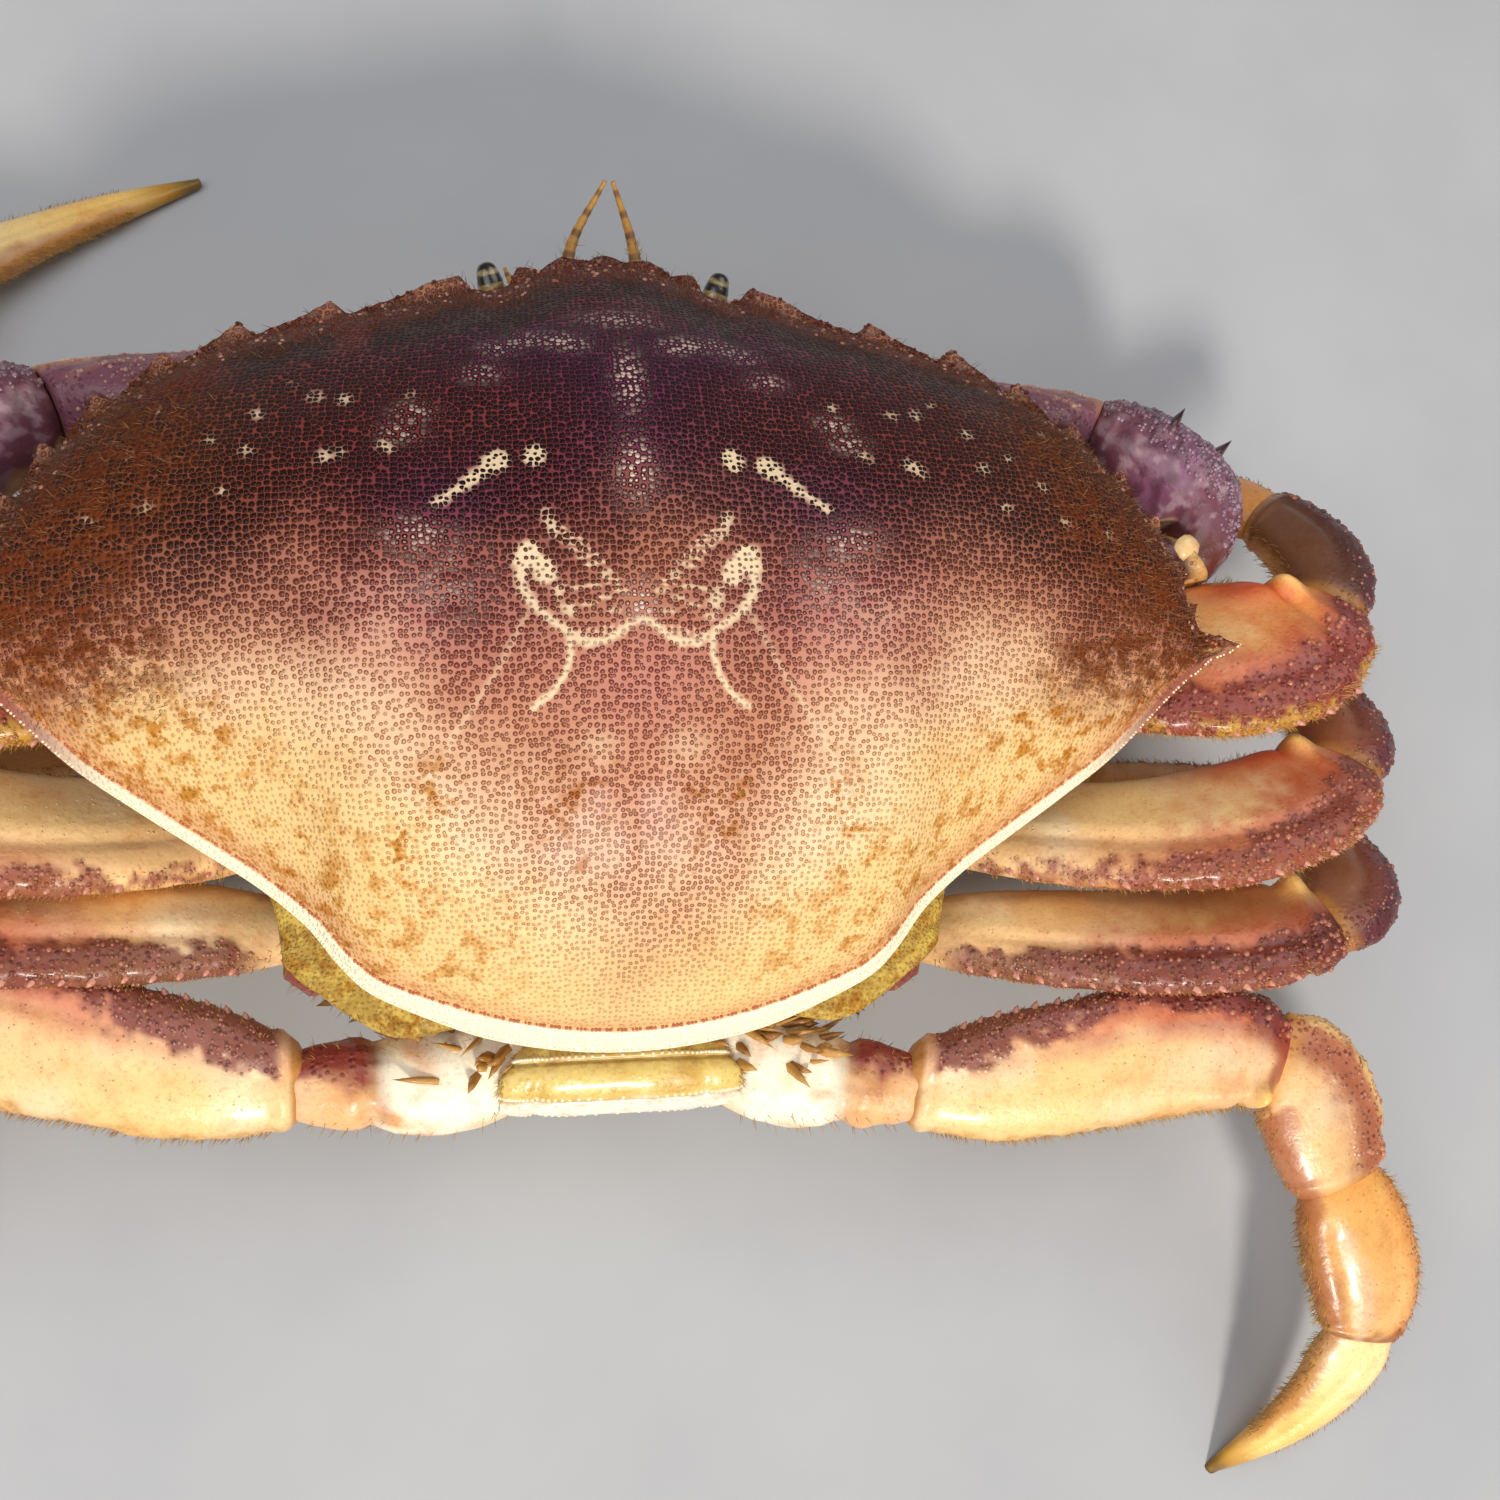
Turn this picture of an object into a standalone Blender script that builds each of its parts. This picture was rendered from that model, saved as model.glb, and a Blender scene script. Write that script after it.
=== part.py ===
"""Dungeness crab, life size and whole, standing with claws folded and legs drawn in.

Working units are millimetres: X to the crab's right-hand edge of the view, Y to its
front, Z up from the floor. The origin ends at the bottom centre of the whole crab.
Every shell plate is its own closed object, 0.3 mm clear of the plates it meets.
"""

import math

import bmesh
import bpy
from mathutils import Matrix, Vector
from mathutils.bvhtree import BVHTree

MM = 0.001
GAP = 0.3
HALF_GAP = GAP / 2

# Carapace, the main driving sizes
TENTH_TOOTH = (87.2, -0.8)
BODY_CENTRE = Vector((0.0, 2.0))
DOME_RISE = 27.0
DOME_SPREAD = 0.85
FRONT_MARGIN_Z = 45.5
SIDE_MARGIN_Z = 50.0
REAR_MARGIN_Z = 39.0
MARGIN_THICKNESS = 2.4
DOME_POWER = 0.9
ANTEROLATERAL_TEETH = 9
TOOTH_DEPTH = 2.3

# Outlines of the right half, from the front midline round to the rear midline
FRONTAL_EDGE = [(0, 56.9), (2.6, 55.7), (6.2, 56.2), (9.2, 53.9), (12.4, 54.2),
                (13.6, 51.2), (16.4, 50.0), (18.8, 50.6), (20.6, 52.6)]
FRONTAL_BASE = [(0, 55.6), (2.6, 55.2), (6.2, 54.6), (9.2, 53.4), (12.4, 52.6),
                (13.6, 51.2), (16.4, 50.0), (18.8, 50.2), (20.6, 50.8)]
TOOTH_ARC = [(12, 54.5), (20.6, 52.0), (36, 48.0), (51, 42.8), (62.5, 36.0), (71.5, 27.0),
             (77.6, 18.0), (80.8, 9.0), (82.6, 1.8), (83, -4)]
REAR_ARC = [(84, -1), (81.8, -3.6), (77.0, -7.6), (68.0, -15.9), (60.0, -21.6), (52.5, -26.6),
            (46.0, -31.0), (40.4, -35.8), (36.4, -40.8), (32.6, -44.4), (26.0, -47.6),
            (18.0, -50.6), (9.0, -52.4), (0.0, -53.0), (-9, -52.4)]

# Low swellings and hollows of the back: x, y, radius, height, for x and -x alike
REGIONS = [(15, 34, 11, 0.9), (0, 18, 13, 0.9), (45, 12, 18, 0.8), (5, -18, 7, 0.9),
           (14, 2, 7, -0.9), (17, -16, 7, -0.8), (24, 24, 7, -0.6), (38, -16, 16, 0.8)]

# Breast plate: facing angle and distance of each side wall, front to back
BELLY_Z = 12.5
WALL_TOP_FRONT = 29.0
WALL_TOP_SLOPE = -0.1
WALLS = {"front": (90, 34.0), "cheliped": (30, 35.5), "leg2": (2, 34.5), "leg3": (-18, 35.5),
         "leg4": (-38, 40.0), "leg5": (-60, 46.5), "rear": (-90, 50.0)}
BREAST_CHAMFER = 5.0

# Walking legs, right side: joint centres after the root, ending at the tip on the floor
LEG_JOINTS = {
    2: [(48, 5, 26), (108, 8, 38), (106, 27, 27), (73, 32, 12), (46, 33, -0.6)],
    3: [(47, -22, 25.5), (108, -16.5, 36.5), (109, 0, 23), (82, 10, 11), (57, 13, -0.6)],
    4: [(44, -37.5, 26), (103, -39, 35.5), (109, -23, 23), (80, -13, 10), (55, -8, -0.6)],
    5: [(42, -59.5, 28), (96, -58, 30), (106.5, -76, 25), (111.5, -99, 17), (93, -120, -0.6)],
}
# The left second leg reaches forward, its last piece lying on the floor
REACHING_LEG = [(48, 4.5, 26), (107.5, 8.5, 34.5), (117, 35, 25), (97, 69, 7.0), (60.5, 91, 1.0)]
LEG_ROOT_Z = {2: 20.5, 3: 20.5, 4: 21.5, 5: 25.0}
LEG_DEPTH = {2: 20.0, 3: 19.0, 4: 17.0, 5: 17.6}
# Breadth of the pieces past the elbow: the last pair has paddle-like ones
OUTER_BREADTH = {2: 0.9, 3: 0.92, 4: 1.0, 5: 1.3}
LEG_THICKNESS = {2: 9.4, 3: 9.2, 4: 8.6, 5: 8.4}
# How much of the elbow's turn the thigh's end face takes
ELBOW_SHARE = {2: 0.55, 3: 0.5, 4: 0.25, 5: 0.35}
# The left legs stand a little further forward than the right ones, in degrees
LEFT_SWEEP = {2: 0.0, 3: 4.0, 4: 7.0, 5: 8.0}

# Size of each leg piece along its length: place, depth and thickness as shares
LEG_FORMS = {
    "base": [(0, 0.66, 1.24), (0.35, 0.74, 1.30), (0.75, 0.68, 1.12), (1, 0.56, 0.92)],
    "merus": [(0, 0.56, 0.80), (0.1, 0.74, 0.92), (0.3, 0.92, 1.0), (0.6, 1.0, 1.0),
              (0.84, 0.96, 0.98), (0.95, 0.82, 0.92), (1, 0.66, 0.78)],
    "carpus": [(0, 0.62, 0.74), (0.15, 0.76, 0.88), (0.5, 0.82, 0.94), (0.82, 0.74, 0.88),
               (1, 0.60, 0.74)],
    "propodus": [(0, 0.56, 0.70), (0.15, 0.70, 0.80), (0.45, 0.78, 0.78), (0.8, 0.70, 0.70),
                 (1, 0.54, 0.58)],
    "dactyl": [(0, 0.50, 0.54), (0.12, 0.56, 0.58), (0.4, 0.46, 0.50), (0.75, 0.27, 0.32),
               (1, 0.08, 0.15)],
}
LEG_PIECES = ["base", "merus", "carpus", "propodus", "dactyl"]
LEG_SIDES = 12

# Claw arms, right side
CLAW_ROOT_Z = 19.5
ARM_MIDDLE = (48, 24.5, 24)
ELBOW = (87.5, 17.0, 34.0)
WRIST = (76.0, 37.5, 32.0)
PALM_MIDDLE = (58, 39.5, 28.0)
PALM_END = (41, 45.0, 24.5)
FIXED_FINGER = [(44, 44.5, 18.0), (26, 51.5, 14.2), (5.2, 58.7, 14.0)]
MOVING_FINGER = [(25, 51.6, 25.6), (6.4, 58.3, 17.2)]
MOVING_FINGER_LIFT = 6.2
PALM_TILT = (0, -0.32, 1)

# Plate colours: linear colour, roughness
FINISHES = {
    "carapace_shell": ((0.42, 0.16, 0.10), 0.38),
    "underside_shell": ((0.74, 0.58, 0.36), 0.45),
    "leg_shell": ((0.72, 0.40, 0.18), 0.35),
    "leg_tip_shell": ((0.78, 0.52, 0.16), 0.32),
    "claw_arm_shell": ((0.30, 0.12, 0.20), 0.35),
    "claw_shell": ((0.62, 0.34, 0.22), 0.35),
    "eye": ((0.03, 0.03, 0.02), 0.12),
    "feeler": ((0.50, 0.30, 0.10), 0.5),
}


def clear_scene():
    """Remove every object of the start-up scene."""
    for thing in list(bpy.data.objects):
        bpy.data.objects.remove(thing)


def new_collection(name):
    """A collection linked to the scene."""
    group = bpy.data.collections.new(name)
    bpy.context.scene.collection.children.link(group)
    return group


def finish(name):
    """The Principled material of one kind of plate."""
    material = bpy.data.materials.get(name)
    if material:
        return material
    colour, roughness = FINISHES[name]
    material = bpy.data.materials.new(name)
    material.use_nodes = True
    shader = material.node_tree.nodes["Principled BSDF"]
    shader.inputs["Base Color"].default_value = (*colour, 1.0)
    shader.inputs["Roughness"].default_value = roughness
    shader.inputs["Metallic"].default_value = 0.0
    return material


def add_object(name, shape, group, material):
    """Turn a bmesh in millimetres into a named object in metres."""
    bmesh.ops.recalc_face_normals(shape, faces=shape.faces)
    bmesh.ops.triangulate(shape, faces=shape.faces)
    bmesh.ops.scale(shape, vec=(MM, MM, MM), verts=shape.verts)
    mesh = bpy.data.meshes.new(name)
    shape.to_mesh(mesh)
    shape.free()
    mesh.shade_smooth()
    mesh.set_sharp_from_angle(angle=math.radians(50))
    mesh.materials.append(finish(material))
    thing = bpy.data.objects.new(name, mesh)
    group.objects.link(thing)
    return thing


def skin_rings(rings):
    """A closed bmesh through rings of equal length, with a fan over each end."""
    shape = bmesh.new()
    rows = [[shape.verts.new(point) for point in ring] for ring in rings]
    count = len(rings[0])
    for lower, upper in zip(rows, rows[1:]):
        for i in range(count):
            j = (i + 1) % count
            shape.faces.new((lower[i], lower[j], upper[j], upper[i]))
    for row in (rows[0], rows[-1]):
        middle = sum((v.co for v in row), Vector()) / count
        hub = shape.verts.new(middle)
        for i in range(count):
            shape.faces.new((row[i], row[(i + 1) % count], hub))
    return shape


def spline_point(points, place):
    """Catmull-Rom point on a list whose first and last entries only guide the ends."""
    spans = len(points) - 3
    index = min(int(place * spans), spans - 1)
    t = place * spans - index
    a, b, c, d = (Vector(p) for p in points[index:index + 4])
    return 0.5 * ((2 * b) + (c - a) * t + (2 * a - 5 * b + 4 * c - d) * t * t
                  + (3 * b - a - 3 * c + d) * t ** 3)


def spline(points, count):
    """Evenly parameterised points along a Catmull-Rom spline."""
    return [spline_point(points, i / (count - 1)) for i in range(count)]


def margin_height(x, y):
    """Height of the carapace edge: lowest behind, highest at the tenth teeth."""
    share = min(abs(x) / TENTH_TOOTH[0], 1.0)
    if y > 0:
        return FRONT_MARGIN_Z + (SIDE_MARGIN_Z - FRONT_MARGIN_Z) * share ** 1.5
    return REAR_MARGIN_Z + (SIDE_MARGIN_Z - REAR_MARGIN_Z) * share ** 1.2


def half_outline():
    """Pairs of edge and base points of the right half; the base has no teeth."""
    pairs = [(Vector(e), Vector(b)) for e, b in zip(FRONTAL_EDGE, FRONTAL_BASE)]
    step = 1.0 / ANTEROLATERAL_TEETH
    for tooth in range(ANTEROLATERAL_TEETH):
        for share, reach in ((0.28, 0.0), (0.46, 1.0), (0.75, 0.5)):
            if tooth == 0 and share == 0.28:
                continue
            place = (tooth + share) * step
            point = spline_point(TOOTH_ARC, place)
            ahead = spline_point(TOOTH_ARC, min(place + 0.01, 1.0))
            along = (ahead - point).normalized()
            outward = Vector((-along.y, along.x))
            forward_lean = -along * 0.8 * reach
            edge = point - outward * TOOTH_DEPTH * (1 - reach) + forward_lean
            pairs.append((edge, point - outward * TOOTH_DEPTH * 1.15))
    pairs.append((Vector((81.8, 1.4)), Vector((80.0, 1.6))))
    pairs.append((Vector(TENTH_TOOTH), Vector((80.6, -1.4))))
    pairs.append((Vector((82.6, -2.9)), Vector((80.2, -3.6))))
    rear = spline(REAR_ARC, 19)[1:]
    pairs += [(point, point * 0.99) for point in rear]
    return pairs


def full_outline():
    """The whole outline, front midline to rear on the right and back on the left."""
    right = half_outline()
    left = [(Vector((-e.x, e.y)), Vector((-b.x, b.y))) for e, b in reversed(right[1:-1])]
    return right + left


def relief(x, y):
    """Height of the swellings and hollows of the back."""
    total = 0.0
    for cx, cy, radius, height in REGIONS:
        for side in (1, -1):
            distance = (x - side * cx) ** 2 + (y - cy) ** 2
            total += height * math.exp(-distance / (radius * radius)) * (0.5 if cx == 0 else 1.0)
    return total


def margin_places(bases, x):
    """Where the front and rear margins cross an upright plane at x."""
    widest = max(range(len(bases)), key=lambda i: bases[i].x)
    reach = min(abs(x), bases[widest].x)
    crossings = []
    for line in (bases[:widest + 1], bases[:widest - 1:-1]):
        for near, far in zip(line, line[1:]):
            if near.x <= reach <= far.x:
                share = (reach - near.x) / max(far.x - near.x, 1e-6)
                crossings.append(near.y + (far.y - near.y) * share)
                break
    return crossings


def back_height(bases, x, y):
    """Height of the back: an arch across each fore-and-aft section, lower to the sides."""
    front, rear = margin_places(bases, x)
    middle_front, middle_rear = margin_places(bases, 0.0)
    chord = max(front - rear, 1e-6)
    place = min(max((y - rear) / chord, 0.0), 1.0)
    arch = (4 * place * (1 - place)) ** DOME_POWER
    rim = margin_height(x, rear) * (1 - place) + margin_height(x, front) * place
    rise = DOME_RISE * (chord / (middle_front - middle_rear)) ** DOME_SPREAD
    return rim + rise * arch + relief(x, y) * min(1.0, arch * 2)


def dome_point(bases, edge, base, share):
    """A point of the back, at a share of the way from the centre to the edge."""
    tooth = max(0.0, (share - 0.9) / 0.1)
    flat = BODY_CENTRE.lerp(base.lerp(edge, tooth), share)
    return Vector((flat.x, flat.y, back_height(bases, flat.x, flat.y)))


def wall_top(y):
    """Height of the join between the carapace and the breast plate."""
    return WALL_TOP_FRONT + WALL_TOP_SLOPE * y


def wall_normal(name):
    """Flat direction that a wall of the breast plate faces, on the right side."""
    angle = math.radians(WALLS[name][0])
    return Vector((math.cos(angle), math.sin(angle)))


def breast_corners(inset=0.0):
    """Corners of the breast plate's right half, where neighbouring walls meet."""
    names = list(WALLS)
    corners = []
    for first, second in zip(names, names[1:]):
        a, b = wall_normal(first), wall_normal(second)
        da, db = WALLS[first][1] - inset, WALLS[second][1] - inset
        det = a.x * b.y - a.y * b.x
        corners.append(Vector(((da * b.y - db * a.y) / det, (a.x * db - b.x * da) / det)))
    return corners


def wall_middle(name):
    """Middle of a wall of the breast plate, on the right side."""
    corners = breast_corners()
    index = list(WALLS).index(name)
    return (corners[index - 1] + corners[index]) / 2


def breast_edge(direction):
    """Point of the breast plate's outline in a flat direction from its middle."""
    heading = Vector((abs(direction.x), direction.y)).normalized()
    reach = min(WALLS[name][1] / max(wall_normal(name).dot(heading), 1e-6) for name in WALLS)
    return Vector((math.copysign(heading.x * reach, direction.x), heading.y * reach))


def flank_ring(outline, share):
    """A ring of the turned-under flank, from below the margin to the breast plate."""
    ring = []
    for edge, base in outline:
        inner = base.lerp(BODY_CENTRE, 0.03)
        foot = breast_edge(base)
        flat = inner.lerp(foot, share)
        high = margin_height(base.x, base.y) - MARGIN_THICKNESS
        ring.append(Vector((flat.x, flat.y, high + (wall_top(foot.y) - high) * share ** 1.15)))
    return ring


def build_carapace(group):
    """The domed back with its toothed margin and turned-under flanks."""
    outline = full_outline()
    bases = [base for _, base in half_outline()]
    rings = []
    for share in (0.12, 0.28, 0.44, 0.58, 0.71, 0.82, 0.91, 0.965, 1.0):
        rings.append([dome_point(bases, edge, base, share) for edge, base in outline])
    for share in (0.0, 0.35, 0.7, 1.0):
        rings.append(flank_ring(outline, share))
    return add_object("carapace", skin_rings(rings), group, "carapace_shell")


def mirrored_half(points):
    """A closed flat loop from the points of its right half, front to back."""
    return points + [Vector((-p.x, p.y)) for p in reversed(points)]


def build_sternum(group):
    """The breast plate: one flat wall for each limb, chamfered below."""
    walls = mirrored_half(breast_corners())
    floor = mirrored_half(breast_corners(BREAST_CHAMFER))
    rings = [[Vector((p.x, p.y, wall_top(p.y) - GAP)) for p in walls],
             [Vector((p.x, p.y, BELLY_Z + 2.5)) for p in walls],
             [Vector((p.x, p.y, BELLY_Z)) for p in floor]]
    return add_object("sternum", skin_rings(rings), group, "underside_shell")


def section(centre, across, up, half_width, half_height, sides, power=2.2, keel=0.0):
    """One superellipse ring; keel narrows it towards its upper side."""
    ring = []
    for i in range(sides):
        angle = 2 * math.pi * i / sides
        c, s = math.cos(angle), math.sin(angle)
        u = math.copysign(abs(c) ** (2 / power), c) * (1 - keel * s)
        v = math.copysign(abs(s) ** (2 / power), s)
        ring.append(centre + across * (u * half_width) + up * (v * half_height))
    return ring


def hermite(start, end, start_way, end_way, t):
    """Point and tangent of a cubic that leaves and arrives in the given directions."""
    cosine = max(-1.0, min(1.0, start_way.dot(end_way)))
    pull = (end - start).length * (1 + 0.32 * (1 - cosine) / 1.5)
    a, b = start_way * pull, end_way * pull
    point = ((2 * t ** 3 - 3 * t ** 2 + 1) * start + (t ** 3 - 2 * t ** 2 + t) * a
             + (3 * t ** 2 - 2 * t ** 3) * end + (t ** 3 - t ** 2) * b)
    way = ((6 * t ** 2 - 6 * t) * start + (3 * t ** 2 - 4 * t + 1) * a
           + (6 * t - 6 * t ** 2) * end + (3 * t ** 2 - 2 * t) * b)
    return point, way.normalized()


def carried(up, old_way, new_way):
    """An upright vector carried along a bend without twist."""
    turned = old_way.rotation_difference(new_way) @ up
    return (turned - new_way * turned.dot(new_way)).normalized()


def limb_rings(start, end, start_way, end_way, up, form, depth, thickness, sides):
    """Rings of one limb piece, and the upright vector at its far end."""
    begin = start + start_way * HALF_GAP
    finish_at = end - end_way * HALF_GAP
    rings, way = [], start_way
    for place, deep, thick in form:
        centre, new_way = hermite(begin, finish_at, start_way, end_way, place)
        up = carried(up, way, new_way)
        way = new_way
        across = way.cross(up)
        rings.append(section(centre, across, up, thickness * thick / 2, depth * deep / 2,
                             sides, keel=0.1))
    return rings, up


def leg_ways(joints, root_way, elbow_share):
    """Direction of the centre line at the root, each joint and the tip."""
    runs = [(b - a).normalized() for a, b in zip(joints, joints[1:])]
    ways = [root_way]
    for index, (before, after) in enumerate(zip(runs, runs[1:])):
        share = elbow_share if index == 1 else 0.5
        ways.append((before * (1 - share) + after * share).normalized())
    tip_way = (runs[-1] * 1.5 - ways[-1] * 0.6).normalized()
    return ways + [tip_way], runs


def mirror_x(point):
    """The same place on the other side of the body."""
    return Vector((-point.x, point.y, point.z))


def swept(point, pivot, degrees):
    """A point turned about an upright line through the leg's root."""
    return pivot + Matrix.Rotation(math.radians(degrees), 3, "Z") @ (point - pivot)


def cut_at_floor(shape):
    """Cut a foot off flat at floor level."""
    geometry = shape.verts[:] + shape.edges[:] + shape.faces[:]
    cut = bmesh.ops.bisect_plane(shape, geom=geometry, plane_co=(0, 0, 0),
                                 plane_no=(0, 0, -1), clear_outer=True)
    rim = [edge for edge in cut["geom_cut"] if isinstance(edge, bmesh.types.BMEdge)]
    if rim:
        bmesh.ops.edgeloop_fill(shape, edges=rim)


def build_leg(group, number, side):
    """One walking leg of five pieces, each its own object."""
    label = "left" if side < 0 else "right"
    wall = f"leg{number}"
    normal = wall_normal(wall)
    middle = wall_middle(wall)
    root_way = Vector((normal.x, normal.y, 0))
    root = Vector((middle.x, middle.y, LEG_ROOT_Z[number])) + root_way * HALF_GAP
    reaching = number == 2 and side < 0
    joints = [root] + [Vector(p) for p in (REACHING_LEG if reaching else LEG_JOINTS[number])]
    if side < 0:
        sweep = LEFT_SWEEP[number]
        joints = [root] + [swept(p, root, sweep) for p in joints[1:]]
    ways, runs = leg_ways(joints, root_way, ELBOW_SHARE[number])
    if side < 0:
        joints = [mirror_x(p) for p in joints]
        ways = [mirror_x(w) for w in ways]
        runs = [mirror_x(r) for r in runs]
    bend = runs[2] - runs[1] * runs[2].dot(runs[1])
    thigh_up = carried(-bend.normalized(), runs[1], ways[1])
    up = carried(thigh_up, ways[1], ways[0])
    for index, piece in enumerate(LEG_PIECES):
        material = "leg_tip_shell" if piece == "dactyl" else "leg_shell"
        breadth = OUTER_BREADTH[number] if index > 1 else 1.0
        if piece == "merus":
            up = thigh_up
        rings, up = limb_rings(joints[index], joints[index + 1], ways[index], ways[index + 1],
                               up, LEG_FORMS[piece], LEG_DEPTH[number] * breadth,
                               LEG_THICKNESS[number], LEG_SIDES)
        shape = skin_rings(rings)
        if piece == "dactyl":
            cut_at_floor(shape)
        add_object(f"leg{number}_{piece}_{label}", shape, group, material)


def tube_shape(points, sizes, up, sides, power=2.2, end_ways=(None, None)):
    """A tapered piece through a few points, each with its half width and half height."""
    guide = [2 * points[0] - points[1]] + points + [2 * points[-1] - points[-2]]
    set_ways = {0: end_ways[0], len(points) - 1: end_ways[1]}
    rings = []
    for index, point in enumerate(points):
        way = set_ways.get(index) or (guide[index + 2] - guide[index]).normalized()
        upright = (up - way * up.dot(way)).normalized()
        across = way.cross(upright)
        width, height = sizes[index]
        rings.append(section(point, across, upright, width, height, sides, power))
    return skin_rings(rings)


def curve_points(controls, count):
    """Points on a smooth curve through three or more hand-set points."""
    first = 2 * controls[0] - controls[1]
    last = 2 * controls[-1] - controls[-2]
    return spline([first] + controls + [last], count)


def sized(controls, count):
    """Half sizes read evenly along a short list of pairs."""
    result = []
    for i in range(count):
        place = i / (count - 1) * (len(controls) - 1)
        index = min(int(place), len(controls) - 2)
        t = place - index
        a, b = controls[index], controls[index + 1]
        result.append((a[0] + (b[0] - a[0]) * t, a[1] + (b[1] - a[1]) * t))
    return result


def spine_object(base, tip, radius, group):
    """A small cone used to roughen an edge."""
    way = (tip - base).normalized()
    upright = way.orthogonal().normalized()
    across = way.cross(upright)
    rings = [section(base, across, upright, radius, radius, 6, 2.0),
             section(base.lerp(tip, 0.6), across, upright, radius * 0.6, radius * 0.6, 6, 2.0),
             section(tip, across, upright, radius * 0.16, radius * 0.16, 6, 2.0)]
    return add_object("spine", skin_rings(rings), group, "claw_shell")


def largest_surface(mesh):
    """Keep only the largest closed surface of a mesh."""
    shape = bmesh.new()
    shape.from_mesh(mesh)
    left = set(shape.verts)
    islands = []
    while left:
        stack = [left.pop()]
        island = set(stack)
        while stack:
            for edge in stack.pop().link_edges:
                for vert in edge.verts:
                    if vert in left:
                        left.remove(vert)
                        island.add(vert)
                        stack.append(vert)
        islands.append(island)
    keep = max(islands, key=len)
    bmesh.ops.delete(shape, geom=[v for v in shape.verts if v not in keep], context="VERTS")
    bmesh.ops.triangulate(shape, faces=shape.faces)
    shape.to_mesh(mesh)
    shape.free()


def fuse(body, extras):
    """Join small pieces to a body by one Boolean union and remove them."""
    scraps = bpy.data.collections.new("fused_spines")
    bpy.context.scene.collection.children.link(scraps)
    for extra in extras:
        for owner in extra.users_collection:
            owner.objects.unlink(extra)
        scraps.objects.link(extra)
        extra.hide_render = True
        extra.display_type = "WIRE"
    union = body.modifiers.new("fuse", "BOOLEAN")
    union.operation = "UNION"
    union.operand_type = "COLLECTION"
    union.collection = scraps
    union.solver = "EXACT"
    reader = bpy.context.evaluated_depsgraph_get()
    fused = bpy.data.meshes.new_from_object(body.evaluated_get(reader))
    body.modifiers.clear()
    body.data = fused
    for extra in list(scraps.objects):
        bpy.data.objects.remove(extra)
    bpy.data.collections.remove(scraps)
    largest_surface(body.data)
    body.data.shade_smooth()
    body.data.set_sharp_from_angle(angle=math.radians(50))


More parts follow.
